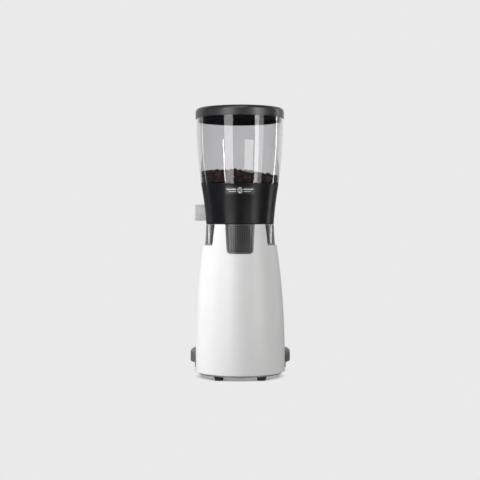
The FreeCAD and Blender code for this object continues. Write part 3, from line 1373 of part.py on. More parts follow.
def build():
    feet()
    foot_screws()
    base_plate()
    cable_gland()
    grounds_tray()
    casing()
    rear_grille()
    front_cover()
    portafilter_fork()
    fork_screws()
    dose_plunger()
    dose_microswitch()
    dosing_chute()
    power_rocker()
    motor_posts()
    motor_shields()
    stator()
    motor_tie_bolts()
    bearing("lower_bearing", "lower_bearing_z")
    bearing("upper_bearing", "upper_bearing_z")
    rotor()
    electrical_parts()
    grind_chamber()
    chamber_bolts()
    burr("lower_burr", "lower_burr_z", teeth_up=True)
    burr("upper_burr", "lower_burr_z + burr_thick + burr_gap", teeth_up=False)
    burr_screws("lower_burr_screws", "lower_burr_z + burr_screw_seat", down=True)
    burr_screws("upper_burr_screws", "lower_burr_z + 2 * burr_thick + burr_gap - burr_screw_seat",
                down=False)
    lower_burr_carrier()
    upper_burr_carrier()
    preload_springs()
    adjusting_ring()
    worm_shaft()
    worm_bracket()
    ring_retainer()
    grind_knob()
    top_collar()
    collar_badge()
    control_panel()
    dose_buttons()
    hopper_seat()
    hopper_gate()
    hopper()
    coffee_beans()
    lid()
    doc.recompute()


def check():
    """Stops the build at an object that failed, or a sub-part with no sound solid."""
    for thing in doc.Objects:
        if "Invalid" in thing.State or "Error" in thing.State:
            raise RuntimeError(f"{thing.Name} failed: {thing.State}")
    for thing in NODES:
        shape = thing.Shape
        if shape.isNull() or not shape.isValid() or not shape.Solids:
            raise RuntimeError(f"{thing.Label} has no valid solid")


def write():
    os.makedirs("parts", exist_ok=True)
    for thing in NODES:
        thing.Shape.exportStep(f"parts/{thing.Label}.step")


build()
check()
write()
print(len(NODES), "sub-parts written")
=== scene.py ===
"""Burr coffee grinder: finishes, fine detail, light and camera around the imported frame.

Everything is in metres. +Z is up, the operator stands on +Y, and the camera looks along +Y.
"""

import json
import math
import random

import bpy
from mathutils import Matrix, Vector
from mathutils.bvhtree import BVHTree


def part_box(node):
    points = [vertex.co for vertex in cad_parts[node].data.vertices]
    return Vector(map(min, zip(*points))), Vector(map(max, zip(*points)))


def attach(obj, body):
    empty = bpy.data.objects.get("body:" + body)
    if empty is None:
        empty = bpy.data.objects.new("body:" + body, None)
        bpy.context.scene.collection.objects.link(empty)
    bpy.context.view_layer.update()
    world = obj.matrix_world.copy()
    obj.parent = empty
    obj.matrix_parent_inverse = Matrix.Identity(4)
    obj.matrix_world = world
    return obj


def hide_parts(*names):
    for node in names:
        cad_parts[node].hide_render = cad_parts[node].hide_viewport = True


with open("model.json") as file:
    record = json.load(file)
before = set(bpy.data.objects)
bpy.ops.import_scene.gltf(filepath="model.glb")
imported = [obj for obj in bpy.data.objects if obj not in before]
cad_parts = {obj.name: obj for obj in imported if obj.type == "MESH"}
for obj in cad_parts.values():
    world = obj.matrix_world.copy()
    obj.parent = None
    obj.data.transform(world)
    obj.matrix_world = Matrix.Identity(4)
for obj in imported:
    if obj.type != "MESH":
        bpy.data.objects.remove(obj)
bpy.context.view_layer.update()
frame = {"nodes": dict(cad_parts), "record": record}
NODES = frame["nodes"]
MM = 0.001

LID_LOW, LID_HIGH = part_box("lid")
AXIS_Y = (LID_LOW.y + LID_HIGH.y) / 2       # of the burr axis, which the lid is round
BEANS_LOW, BEANS_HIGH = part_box("coffee_beans")
COLLAR_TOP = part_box("top_collar")[1].z


# ---- finishes

WAVE_RATE = 20      # radians that a wave texture turns through over one metre, at a scale of 1


def wave_scale(band):
    """Scale at which each band of a wave texture, light or dark, is so wide."""
    return math.pi / (WAVE_RATE * band)


class Finish:
    """One material: a Principled shader, and short calls that add texture nodes to it."""

    def __init__(self, name, colour, **sockets):
        self.material = bpy.data.materials.new(name)
        self.material.use_nodes = True
        self.tree = self.material.node_tree
        self.shader = self.tree.nodes["Principled BSDF"]
        self.place = self.node("ShaderNodeTexCoord").outputs["Object"]
        self.shader.inputs["Base Color"].default_value = (*colour, 1)
        self.material.diffuse_color = (*colour, 1)
        for socket, value in sockets.items():
            self.shader.inputs[socket.replace("_", " ")].default_value = value

    def node(self, kind, inputs=None, **settings):
        """A new node. Each input is a number or colour, or another node's output to link."""
        made = self.tree.nodes.new(kind)
        for setting, value in settings.items():
            setattr(made, setting, value)
        for socket, value in (inputs or {}).items():
            if isinstance(value, bpy.types.NodeSocket):
                self.tree.links.new(value, made.inputs[socket])
            else:
                made.inputs[socket].default_value = value
        return made

    def noise(self, size, stretch=(1, 1, 1), detail=3.0):
        """Noise with features of about a size, drawn out along the axes where stretch is small."""
        mapped = self.node("ShaderNodeMapping", {"Vector": self.place, "Scale": stretch})
        inputs = {"Vector": mapped.outputs["Vector"], "Scale": 1 / size, "Detail": detail}
        return self.node("ShaderNodeTexNoise", inputs).outputs["Fac"]

    def bands(self, band, distortion=0.0, **settings):
        """Light and dark bands in turn, each so wide."""
        inputs = {"Vector": self.place, "Scale": wave_scale(band), "Distortion": distortion}
        return self.node("ShaderNodeTexWave", inputs, **settings).outputs["Fac"]

    def spread(self, factor, low, high, start=0.35, end=0.65):
        """A number between low and high, as the factor goes from start to end."""
        inputs = {"Value": factor, "From Min": start, "From Max": end, "To Min": low, "To Max": high}
        return self.node("ShaderNodeMapRange", inputs).outputs["Result"]

    def colours(self, factor, low, high, start=0.35, end=0.65):
        """A colour between two, as the factor goes from start to end."""
        ramp = self.node("ShaderNodeValToRGB", {"Fac": factor})
        for element, place, colour in zip(ramp.color_ramp.elements, (start, end), (low, high)):
            element.position = place
            element.color = (*colour, 1)
        return ramp.outputs["Color"]

    def bump(self, height, depth, under=None):
        """A bump of that depth, laid over another bump if one is given."""
        inputs = {"Height": height, "Distance": depth, "Strength": 1.0}
        if under:
            inputs["Normal"] = under
        return self.node("ShaderNodeBump", inputs).outputs["Normal"]

    def link(self, **sources):
        """Links each named socket of the shader to its source, and returns the finished material."""
        for socket, source in sources.items():
            self.tree.links.new(source, self.shader.inputs[socket.replace("_", " ")])
        return self.material


def shade(colour, factor):
    """The colour made darker or lighter by a factor."""
    return tuple(min(channel * factor, 1.0) for channel in colour)


def moulded(name, colour, rough, grain=0.35 * MM, depth=0.012 * MM, **sockets):
    """Moulded plastic or rubber: a fine spark-eroded grain, and a patchy sheen from handling."""
    finish = Finish(name, colour, **sockets)
    patches = finish.noise(34 * MM)
    return finish.link(
        Base_Color=finish.colours(patches, shade(colour, 0.93), shade(colour, 1.08)),
        Roughness=finish.spread(patches, rough - 0.035, rough + 0.035),
        Normal=finish.bump(finish.noise(grain, detail=1.0), depth),
    )


def powder_coat(name, colour, rough):
    """Powder coat: a faint orange peel over a smooth face, with the slightest unevenness of tone."""
    finish = Finish(name, colour, Specular_IOR_Level=0.35)
    tone = finish.noise(70 * MM)
    peel = finish.bump(finish.noise(1.5 * MM, detail=1.0), 0.010 * MM)
    return finish.link(
        Base_Color=finish.colours(tone, shade(colour, 0.985), shade(colour, 1.01)),
        Roughness=finish.spread(finish.noise(9 * MM), rough - 0.03, rough + 0.03),
        Normal=finish.bump(finish.noise(0.22 * MM, detail=1.0), 0.003 * MM, peel),
    )


def metal(name, colour, rough, lay=(1, 1, 1), line=0.5 * MM):
    """Bare metal: marks drawn out along the lay of its finish, and patches of duller tone."""
    finish = Finish(name, colour, Metallic=1.0)
    marks = finish.noise(line, lay, detail=4.0)
    return finish.link(
        Base_Color=finish.colours(finish.noise(18 * MM), shade(colour, 0.86), colour),
        Roughness=finish.spread(marks, rough - 0.07, rough + 0.1),
        Normal=finish.bump(marks, 0.004 * MM),
    )


def cast_metal(name, colour, rough, bare, depth=0.05 * MM):
    """Blasted metal: pitted all over and dull. Bare is 1 for clean metal, and 0 under a pale coat."""
    finish = Finish(name, colour, Metallic=bare)
    pits = finish.noise(0.8 * MM, detail=5.0)
    return finish.link(
        Base_Color=finish.colours(pits, shade(colour, 0.7), shade(colour, 1.12)),
        Roughness=finish.spread(finish.noise(11 * MM), rough - 0.08, rough + 0.08),
        Normal=finish.bump(pits, depth),
    )


def laminated(name, colour):
    """A stack of thin sheets: a dark line between each two."""
    finish = Finish(name, colour, Metallic=0.9)
    sheets = finish.bands(1.0 * MM, bands_direction="Z")
    return finish.link(
        Base_Color=finish.colours(sheets, shade(colour, 0.4), colour, 0.05, 0.35),
        Roughness=finish.spread(finish.noise(6 * MM), 0.42, 0.58),
        Normal=finish.bump(sheets, 0.06 * MM),
    )


def wound(name, colour):
    """Enamelled wire laid turn by turn round a coil."""
    finish = Finish(name, colour, Metallic=0.85, Coat_Weight=0.5, Coat_Roughness=0.15)
    turns = finish.bands(1.1 * MM, 2.0, wave_type="RINGS", rings_direction="Z")
    return finish.link(
        Base_Color=finish.colours(turns, shade(colour, 0.35), colour, 0.1, 0.6),
        Roughness=finish.spread(finish.noise(5 * MM), 0.25, 0.4),
        Normal=finish.bump(turns, 0.2 * MM),
    )


def board(name, colour):
    """Solder mask over tracks, seen as paler lines under the green."""
    finish = Finish(name, colour, Coat_Weight=0.6, Coat_Roughness=0.2)
    inputs = {"Vector": finish.place, "Scale": 1 / (4 * MM)}
    settings = {"distance": "MANHATTAN", "feature": "DISTANCE_TO_EDGE"}
    tracks = finish.node("ShaderNodeTexVoronoi", inputs, **settings).outputs["Distance"]
    return finish.link(
        Base_Color=finish.colours(tracks, shade(colour, 1.9), colour, 0.04, 0.08),
        Roughness=finish.spread(tracks, 0.3, 0.45, 0.0, 0.2),
        Normal=finish.bump(tracks, 0.02 * MM),
    )


def clear_plastic(name, colour):
    """Clear moulded plastic, with the slow ripple of a moulding and a trace of haze."""
    finish = Finish(name, colour, Transmission_Weight=1.0, IOR=1.58)
    ripple = finish.noise(60 * MM, (1, 1, 0.5), detail=1.0)
    return finish.link(
        Base_Color=finish.colours(finish.noise(90 * MM), shade(colour, 0.98), colour),
        Roughness=finish.spread(finish.noise(3 * MM), 0.0, 0.006, 0.45, 0.8),
        Normal=finish.bump(ripple, 0.02 * MM),
    )


def roasted(name):
    """Dark roasted beans: each its own shade of brown, finely wrinkled, with a little oil."""
    darkest, palest = (0.012, 0.003, 0.002), (0.20, 0.062, 0.032)
    finish = Finish(name, (0.05, 0.027, 0.02), Coat_Weight=0.6, Coat_Roughness=0.2)
    island = finish.node("ShaderNodeNewGeometry").outputs["Random Per Island"]
    wrinkles = finish.noise(0.9 * MM, detail=4.0)
    return finish.link(
        Base_Color=finish.colours(island, darkest, palest, 0.0, 1.0),
        Roughness=finish.spread(wrinkles, 0.36, 0.58),
        Normal=finish.bump(wrinkles, 0.12 * MM),
    )


def lit_segments(name):
    """The pale blue glow of a display."""
    blue = (0.75, 0.9, 1.0)
    finish = Finish(name, blue, Emission_Color=(*blue, 1), Emission_Strength=1.6, Roughness=0.4)
    glow = finish.noise(2 * MM)
    return finish.link(Base_Color=finish.colours(glow, (0.7, 0.86, 1.0), (0.8, 0.95, 1.0)))


FINISHES = {
    "white_paint": powder_coat("white_paint", (0.87, 0.87, 0.865), 0.42),
    "black_satin": moulded("black_satin", (0.0065, 0.0065, 0.008), 0.31, Specular_IOR_Level=0.19),
    "badge_plate": moulded("badge_plate", (0.010, 0.010, 0.011), 0.30),
    "clear_hopper": clear_plastic("clear_hopper", (0.82, 0.82, 0.83)),
    "roasted_beans": roasted("roasted_beans"),
    "black_grille": moulded("black_grille", (0.075, 0.075, 0.08), 0.26, 0.6 * MM, 0.01 * MM),
    "cast_aluminium": cast_metal("cast_aluminium", (0.36, 0.36, 0.37), 0.5, 0.4),
    "knurled_aluminium": cast_metal("knurled_aluminium", (0.98, 0.98, 0.985), 0.42, 0.0, 0.02 * MM),
    "machined_steel": metal("machined_steel", (0.55, 0.55, 0.56), 0.28, (1, 1, 0.05)),
    "steel_screws": metal("steel_screws", (0.5, 0.5, 0.51), 0.3),
    "fork_steel": metal("fork_steel", (0.56, 0.56, 0.57), 0.26, (0.04, 1, 1), 0.3 * MM),
    "laminated_steel": laminated("laminated_steel", (0.24, 0.24, 0.26)),
    "copper_winding": wound("copper_winding", (0.62, 0.27, 0.12)),
    "bronze": metal("bronze", (0.68, 0.47, 0.22), 0.3),
    "black_plastic": moulded("black_plastic", (0.018, 0.018, 0.019), 0.45),
    "tray_plastic": moulded("tray_plastic", (0.12, 0.12, 0.124), 0.42, 0.5 * MM, 0.02 * MM),
    "black_rubber": moulded("black_rubber", (0.016, 0.016, 0.016), 0.78, 0.6 * MM, 0.03 * MM),
    "capacitor_plastic": moulded("capacitor_plastic", (0.66, 0.65, 0.6), 0.4),
    "circuit_board": board("circuit_board", (0.02, 0.12, 0.05)),
    "display_glass": moulded("display_glass", (0.008, 0.009, 0.011), 0.1, 4 * MM, 0.002 * MM,
                             Coat_Weight=0.6, Coat_Roughness=0.05),
    "button_plastic": moulded("button_plastic", (0.42, 0.42, 0.44), 0.4),
}
# Finishes of single nodes, in place of their slot's, and of the pieces added here
LID_PLASTIC = moulded("black_lid", (0.022, 0.022, 0.025), 0.34, Specular_IOR_Level=0.6)
# the posts: grey cast metal made nearly white, a painted highlight standing in for the light along them
POSTS_PAINTED_HIGHLIGHT = cast_metal("posts_painted_highlight", (0.93, 0.93, 0.94), 0.3, 0.4, 0.01 * MM)
# a near-black sheet behind the grille's holes: painted shade for the dark inside of the casing
SHADE_SHEET_FINISH = moulded("painted_grille_shade", (0.004, 0.004, 0.004), 0.9, 1.2 * MM, 0.1 * MM)
PRINT = moulded("white_print", (0.72, 0.72, 0.72), 0.5)
GLOW = lit_segments("lit_segments")


def finish_nodes():
    """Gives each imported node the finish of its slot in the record."""
    for part in frame["record"]["subparts"]:
        node = NODES[part["node"]]
        node.data.materials.clear()
        node.data.materials.append(FINISHES[part["material_slot"]])
    NODES["lid"].data.materials[0] = LID_PLASTIC
    # painted highlight: the posts get a much paler copy of the cast metal
    NODES["seat_pillars"].data.materials[0] = POSTS_PAINTED_HIGHLIGHT


# ---- meshes

def piece(name, verts, faces, material, body, smooth=True):
    """A new mesh object that rides on a body."""
    mesh = bpy.data.meshes.new(name)
    mesh.from_pydata(verts, [], faces)
    mesh.validate()
    mesh.polygons.foreach_set("use_smooth", [smooth] * len(mesh.polygons))
    mesh.materials.append(material)
    made = bpy.data.objects.new(name, mesh)
    bpy.context.scene.collection.objects.link(made)
    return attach(made, body)


def surface_of(node):
    """A node's faces, for finding where a line meets them."""
    return BVHTree.FromObject(NODES[node], bpy.context.evaluated_depsgraph_get())


def outward(angle):
    """The level direction at an angle about the burr axis."""
    return Vector((math.cos(angle), math.sin(angle), 0))


def wall_radius(tree, angle, height):
    """Distance from the burr axis out to the first wall at a height."""
    out = outward(angle)
    start = Vector((0, AXIS_Y, height))
    hit = tree.ray_cast(start, out)[0]
    return (hit - start).length


# ---- coffee beans

BEAN_LONG, BEAN_WIDE, BEAN_THICK = 11.4 * MM, 8.2 * MM, 6.2 * MM
UNDERSIDE = 0.55            # depth of a bean's flat side, where its dome is 1 high
UNDERSIDE_ROUND = 0.6       # 1 for a round underside, and less for a flatter one
CREASE_DEEP = 0.42          # of the crease along that side, on the same scale
CREASE_WIDE = 0.16          # of the crease, where the bean is 2 wide
CREASE_BEND = 0.1           # how far the crease strays from the middle
BEAN_MIDDLE = 0.2           # height of the bean's own middle, on the scale of its dome
BEAN_SIZES = (0.86, 1.08)   # smallest and largest, against the sizes above

LEVEL_BELOW = 2.8 * MM      # the charge's level on the left, under the top of the plain solid
LEVEL_FALL = 10 * MM        # how much lower it lies on the right
FALL_FROM = -5 * MM         # x where it starts to fall
FALL_ACROSS = 85 * MM       # and how far on it is lowest
WAVES_HIGH = 1.8 * MM       # its unevenness
WAVES_X, WAVES_Y = 9 * MM, 11 * MM      # length of its waves, for each radian

WALL_LAYERS = ((4.3 * MM, 0.22), (9.5 * MM, 0.9))      # depth behind the wall, and how loosely they lie
WALL_ANGLE = 0.3            # where the hopper's wall is measured, clear of its middle planes
COURSE_LOW = COLLAR_TOP - 14 * MM       # the lowest course, hidden by the collar
COURSE_RISE = 6.8 * MM      # from one course of beans to the next
COURSE_PITCH = 9.4 * MM     # from bean to bean along a course
COURSE_UNEVEN = 0.22        # how far a bean strays along its course, as a share of the pitch
RISE_UNEVEN = 1.5 * MM      # how far it strays up or down
LEVEL_UNEVEN = 2.5 * MM     # how far it may stand above or below the charge's level

TOP_TUCK = 6.5 * MM         # from the wall to the middle of the nearest bean on top
TOP_PITCH = 8.2 * MM        # least distance between beans on top
TOP_LAYER_RISE = 5 * MM     # from one layer on top to the next
TOP_TILT = 0.6              # how far from flat these beans lie
TOP_TRIES = 9000            # random spots tried in each layer on top

CORE_RINGS = 9              # rings of the dark core above its foot
CORE_TUCK = 10 * MM         # how far the core stays behind the wall, where beans show
CORE_FOOT_TUCK = 3 * MM     # and at its foot, where they don't
CORE_BELOW = 7 * MM         # how far it stays under the charge's level


def bean_template(around=14, rings=8):
    """One bean about its own middle: long on x, flat and creased underneath, domed on top."""
    verts = []
    for ring in range(rings + 1):
        polar = math.pi * ring / rings
        for step in range(around if 0 < ring < rings else 1):
            turn = 2 * math.pi * step / around
            x, y, z = math.cos(polar), math.sin(polar) * math.cos(turn), math.sin(polar) * math.sin(turn)
            if z < 0:
                off_crease = (y - CREASE_BEND * math.sin(math.pi * x)) / CREASE_WIDE
                crease = math.exp(-(off_crease ** 2)) * (1 - x * x)
                z = -UNDERSIDE * abs(z) ** UNDERSIDE_ROUND + CREASE_DEEP * crease
            rise = (z - BEAN_MIDDLE) * BEAN_THICK / (1 + UNDERSIDE)
            verts.append(Vector((x * BEAN_LONG / 2, y * BEAN_WIDE / 2, rise)))
    faces = []
    last = len(verts) - 1
    for step in range(around):
        after = (step + 1) % around
        faces.append((0, 1 + after, 1 + step))
        faces.append((last, last - around + step, last - around + after))
        for ring in range(rings - 2):
            low, high = 1 + ring * around, 1 + (ring + 1) * around
            faces.append((low + step, low + after, high + after, high + step))
    return verts, faces


def bean_level(x, y):
    """Height of the bean charge: it slopes down to the right, and is a little uneven."""
    slope = max(0.0, min(1.0, (x - FALL_FROM) / FALL_ACROSS))
    waves = math.sin(x / WAVES_X) * math.cos(y / WAVES_Y)
    return BEANS_HIGH.z - LEVEL_BELOW - LEVEL_FALL * slope + WAVES_HIGH * waves


def either_way(rng, reach):
    """A random number between minus and plus the reach."""
    return rng.uniform(-reach, reach)


def beans_at_wall(rng, tree):
    """Beans in courses close behind the hopper's wall, each as (place, way up)."""
    places = []
    for depth, looseness in WALL_LAYERS:
        height = COURSE_LOW
        while height < BEANS_HIGH.z + 4 * MM:
            radius = wall_radius(tree, WALL_ANGLE, height) - depth
            count = int(2 * math.pi * radius / COURSE_PITCH)
            offset = rng.random()
            for i in range(count):
                out = outward(2 * math.pi * (i + offset + either_way(rng, COURSE_UNEVEN)) / count)
                here = Vector((0, AXIS_Y, height + either_way(rng, RISE_UNEVEN))) + out * radius
                level = bean_level(here.x, here.y - AXIS_Y)
                if here.z < level + either_way(rng, LEVEL_UNEVEN):
                    side = rng.choice((-1, 1))
                    lean = Vector([either_way(rng, looseness) for _ in range(3)])
                    places.append((here, out * side + lean))
            height += COURSE_RISE
    return places


def beans_on_top(rng, tree):
    """Beans scattered over the top of the charge in two layers, each as (place, way up)."""
    places = []
    reach = wall_radius(tree, WALL_ANGLE, bean_level(0, 0)) - TOP_TUCK
    for layer in range(2):
        spots = []
        for _ in range(TOP_TRIES):
            x, y = either_way(rng, reach), either_way(rng, reach)
            free = all(math.hypot(x - a, y - b) > TOP_PITCH for a, b in spots)
            if free and math.hypot(x, y) < reach:
                spots.append((x, y))
        for x, y in spots:
            height = bean_level(x, y) - layer * TOP_LAYER_RISE + rng.uniform(-1.5, 2) * MM
            way = Vector((either_way(rng, TOP_TILT), either_way(rng, TOP_TILT), rng.choice((-1, 1))))
            places.append((Vector((x, y + AXIS_Y, height)), way))
    return places


def coffee_beans():
    """Single beans where they show, over a dark core that fills the rest of the charge."""
    rng = random.Random(11)
    tree = surface_of("hopper")
    template, template_faces = bean_template()
    verts, faces = [], []
    for here, way in beans_at_wall(rng, tree) + beans_on_top(rng, tree):
        spin = Matrix.Rotation(rng.uniform(0, 2 * math.pi), 3, "Z")
        turn = way.to_track_quat("Z", "X").to_matrix() @ spin
        size = rng.uniform(*BEAN_SIZES)
        start = len(verts)
        verts.extend(here + turn @ (v * size) for v in template)
        faces.extend(tuple(start + i for i in face) for face in template_faces)
    beans = piece("bean_charge", verts, faces, FINISHES["roasted_beans"], "bean_hopper")
    core = bean_core(tree)
    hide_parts("coffee_beans")


def bean_core(tree, around=64):
    """The inside of the charge, a lumpy solid that stays behind the single beans."""
    verts, faces = [], []
    heights = [BEANS_LOW.z + 1 * MM, BEANS_LOW.z + 8 * MM]
    step = (bean_level(0, 0) - CORE_BELOW - 2 * MM - heights[-1]) / CORE_RINGS
    heights += [heights[-1] + step * (i + 1) for i in range(CORE_RINGS)]
    for height in heights:
        tuck = CORE_FOOT_TUCK if height < heights[3] else CORE_TUCK
        for i in range(around):
            angle = 2 * math.pi * i / around
            radius = wall_radius(tree, angle, height) - tuck
            x, y = radius * math.cos(angle), radius * math.sin(angle)
            verts.append((x, y + AXIS_Y, min(height, bean_level(x, y) - CORE_BELOW)))
    for ring in range(len(heights) - 1):
        for i in range(around):
            a, b = ring * around + i, ring * around + (i + 1) % around
            faces.append((a, b, b + around, a + around))
    faces.append(tuple(reversed(range(around))))
    faces.append(tuple(range(len(verts) - around, len(verts))))
    return piece("bean_core", verts, faces, FINISHES["roasted_beans"], "bean_hopper")


# A black sheet behind the rear grille's holes: painted shade that makes them read dark
SHADE_SHEET_THICK = 1.5 * MM
SHADE_SHEET_GAP = 0.3 * MM         # between the black sheet and the grille
SHADE_SHEET_HALF_ANGLE = math.radians(19.5)
REAR = -math.pi / 2         # angle of the rear about the burr axis


def grille_shade_sheet(columns=12, rows=8):
    """A black sheet close behind the holes of the rear grille: painted shade standing in for the shaded
    inside of the casing seen through them.
    """
    tree = surface_of("rear_grille")
    low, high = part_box("rear_grille")
    bottom, top = low.z + 6 * MM, high.z - 2 * MM
    verts = []
    for row in range(rows + 1):
        height = bottom + (top - bottom) * row / rows
        radius = wall_radius(tree, REAR + SHADE_SHEET_HALF_ANGLE, height) - SHADE_SHEET_GAP
        for depth in (0, SHADE_SHEET_THICK):
            for column in range(columns + 1):
                out = outward(REAR + SHADE_SHEET_HALF_ANGLE * (2 * column / columns - 1))
                verts.append(Vector((0, AXIS_Y, height)) + out * (radius - depth))
    wide = columns + 1
    faces = []
    for row in range(rows):
        for column in range(columns):
            front = 2 * wide * row + column
            back = front + wide
            above, above_back = front + 2 * wide, back + 2 * wide
            faces.append((front, front + 1, above + 1, above))
            faces.append((back + 1, back, above_back, above_back + 1))
    for row in range(rows):
        for column, turn in ((0, 1), (columns, -1)):
            corner = 2 * wide * row + column
            side = (corner, corner + 2 * wide, corner + 3 * wide, corner + wide)
            faces.append(side[::turn])
    for row, turn in ((0, 1), (rows, -1)):
        for column in range(columns):
            corner = 2 * wide * row + column
            end = (corner, corner + wide, corner + wide + 1, corner + 1)
            faces.append(end[::turn])
    piece("grille_shade_sheet", verts, faces, SHADE_SHEET_FINISH, "grinder_body")


# ---- raised print that follows the face it is on

CLEAR = 20 * MM             # how far ahead of a face its print is aimed from
PRINT_HIGH = 0.12 * MM
FINE_PRINT_HIGH = 0.06 * MM
GLOW_HIGH = 0.05 * MM

# For each side of the grinder, as a person facing it sees it: the way to their right, and ahead
SIDES = {
    "rear": (Vector((1, 0, 0)), Vector((0, 1, 0))),
    "front": (Vector((-1, 0, 0)), Vector((0, -1, 0))),
    "left": (Vector((0, -1, 0)), Vector((1, 0, 0))),
}
UP = Vector((0, 0, 1))


def strip(parts):
    """The quads of a strip whose points come in pairs, one pair at each end of a quad."""
    return [(2 * i, 2 * i + 2, 2 * i + 3, 2 * i + 1) for i in range(parts)]


def bar(x, y, wide, high, parts=8):
    """A flat bar as a strip of quads: (points, faces) about its middle at (x, y)."""
    points = []
    for i in range(parts + 1):
        for side in (-1, 1):
            points.append((x - wide / 2 + wide * i / parts, y + side * high / 2))
    return points, strip(parts)


def ring(x, y, outer, inner, start=0.0, end=2 * math.pi, parts=28, squeeze=1.0):
    """A flat ring or arc, drawn out in y by squeeze."""
    points = []
    for i in range(parts + 1):
        angle = start + (end - start) * i / parts
        for radius in (outer, inner):
            points.append((x + radius * math.cos(angle), y + radius * squeeze * math.sin(angle)))
    return points, strip(parts)


def tick(angle, inner, outer, wide):
    """A short flat line that points out from the middle."""
    points = []
    for reach in (inner, outer):
        for side in (-wide / 2, wide / 2):
            points.append((reach * math.cos(angle) - side * math.sin(angle),
                           reach * math.sin(angle) + side * math.cos(angle)))
    return points, [(0, 2, 3, 1)]


def raised(name, shapes, node, body, side, about=None, material=PRINT, height=PRINT_HIGH):
    """Flat shapes laid on one side of a node and raised a little. Their points are measured to the
    right and up from the middle of that node, or of another one that they go round."""
    right, ahead = SIDES[side]
    low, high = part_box(about or node)
    start_from = (low + high) / 2 - ahead * (abs((high - low).dot(ahead)) / 2 + CLEAR)
    tree = surface_of(node)
    verts, faces = [], []
    for points, quads in shapes:
        start = len(verts)
        count = len(points)
        for lift in (height, -height):
            for x, y in points:
                hit, normal, _, _ = tree.ray_cast(start_from + right * x + UP * y, ahead)
                verts.append(hit + normal * lift)
        for quad in quads:
            faces.append(tuple(start + i for i in quad))
            faces.append(tuple(start + count + i for i in reversed(quad)))
        for a, b in outline_edges(quads):
            faces.append((start + b, start + a, start + count + a, start + count + b))
    piece(name, verts, faces, material, body, smooth=False)


def outline_edges(quads):
    """The edges that only one quad has."""
    edges = [(quad[i], quad[(i + 1) % len(quad)]) for quad in quads for i in range(len(quad))]
    return [edge for edge in edges if (edge[1], edge[0]) not in edges]


def badge_emblem(bean=5.4 * MM, tall=1.25):
    """A plain bean between two pairs of lines, on the rear badge."""
    shapes = [
        ring(0, 0, bean, bean - 1.6 * MM, squeeze=tall),
        ring(-bean * 0.55, 0, bean * 0.8, bean * 0.5, -0.9, 0.9, 10, tall),
    ]
    for side in (-1, 1):
        shapes.append(bar(side * 19 * MM, 2.2 * MM, 21 * MM, 2.6 * MM))
        shapes.append(bar(side * 17 * MM, -2.6 * MM, 17 * MM, 1.3 * MM))
    raised("badge_emblem", shapes, "collar_badge", "grinder_body", "rear")


DIGIT_PITCH, DIGIT_WIDE, DIGIT_HIGH, DIGIT_LINE = 6.4 * MM, 3.4 * MM, 4.3 * MM, 0.75 * MM
SEGMENTS = {1: "bc", 2: "abged", 5: "afgcd"}
SEGMENT_ROWS = {"a": 1, "g": 0, "d": -1}
SEGMENT_ENDS = {"b": (1, 1), "c": (1, -1), "f": (-1, 1), "e": (-1, -1)}


def digit(number, x):
    """The lit segments of one digit, with its middle at x."""
    shapes = []
    for segment in SEGMENTS[number]:
        if segment in SEGMENT_ROWS:
            rise = SEGMENT_ROWS[segment] * DIGIT_HIGH / 2
            shapes.append(bar(x, rise, DIGIT_WIDE - DIGIT_LINE * 1.3, DIGIT_LINE, 2))
        else:
            side, end = SEGMENT_ENDS[segment]
            length = DIGIT_HIGH / 2 - DIGIT_LINE * 0.7
            shapes.append(bar(x + side * DIGIT_WIDE / 2, end * DIGIT_HIGH / 2, DIGIT_LINE, length, 2))
    return shapes


def display_digits():
    """Seconds of grinding time on the operator's display, with a decimal point."""
    shapes = []
    for place, number in ((-1, 1), (0, 2), (1, 5)):
        shapes += digit(number, place * DIGIT_PITCH)
    shapes.append(bar(DIGIT_PITCH / 2, -DIGIT_HIGH, 0.8 * MM, 0.8 * MM, 1))
    raised("display_digits", shapes, "display_window", "grinder_body", "front", material=GLOW,
           height=GLOW_HIGH)


def cup(x, y, size):
    """A small cup: a half ring with a rim line and a handle."""
    return [
        ring(x, y, size, size * 0.66, math.pi, 2 * math.pi, 14),
        bar(x, y + size * 0.1, size * 2.1, size * 0.26, 2),
        ring(x + size * 1.15, y - size * 0.3, size * 0.42, size * 0.2, -1.6, 1.6, 8),
    ]


def button_marks():
    """One cup on the button for a single dose, and two smaller ones on the other."""
    for node, body, size, places in (
        ("single_dose_button", "single_button", 1.8 * MM, (0,)),
        ("double_dose_button", "double_button", 1.15 * MM, (-2.2 * MM, 2.2 * MM)),
    ):
        shapes = []
        for place in places:
            shapes += cup(place, 0.2 * MM, size)
        raised(node + "_mark", shapes, node, body, "front", material=FINISHES["black_plastic"],
               height=FINE_PRINT_HIGH)


def knob_marks(ticks=13):
    """An index line on the knob's end, and an arc of ticks that grow longer on the collar."""
    low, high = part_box("grind_knob")
    radius = (high.z - low.z) / 2
    index = bar(0, radius * 0.68, 1.2 * MM, radius * 0.34, 2)
    raised("knob_index", [index], "grind_knob", "adjuster_knob", "left",
           material=FINISHES["black_plastic"])
    scale = []
    for i in range(ticks):
        angle = math.radians(-72 + 12 * i)
        scale.append(tick(angle, radius + 2 * MM, radius + (2.8 + 0.16 * i) * MM, 0.6 * MM))
    raised("grind_scale", scale, "top_collar", "grinder_body", "left", about="grind_knob")


def rocker_marks():
    """The usual line and ring for on and off."""
    shapes = [bar(0, 3.6 * MM, 0.7 * MM, 2.6 * MM, 1), ring(0, -3.6 * MM, 1.5 * MM, 1.0 * MM)]
    raised("rocker_marks", shapes, "power_rocker", "power_switch", "front")


# ---- floor, light and camera

# What the camera sees of the floor and the backdrop, and the darker room that lights the grinder
# (diffuse) and is mirrored in it (glossy)
BACKDROP = (0.825, 0.825, 0.825, 1)
ROOM_DIFFUSE = (0.18, 0.18, 0.185, 1)
ROOM_GLOSSY = (0.02, 0.02, 0.021, 1)
FLOOR_DIFFUSE = (0.70, 0.70, 0.70, 1)
FLOOR_GLOSSY = (0.10, 0.10, 0.10, 1)

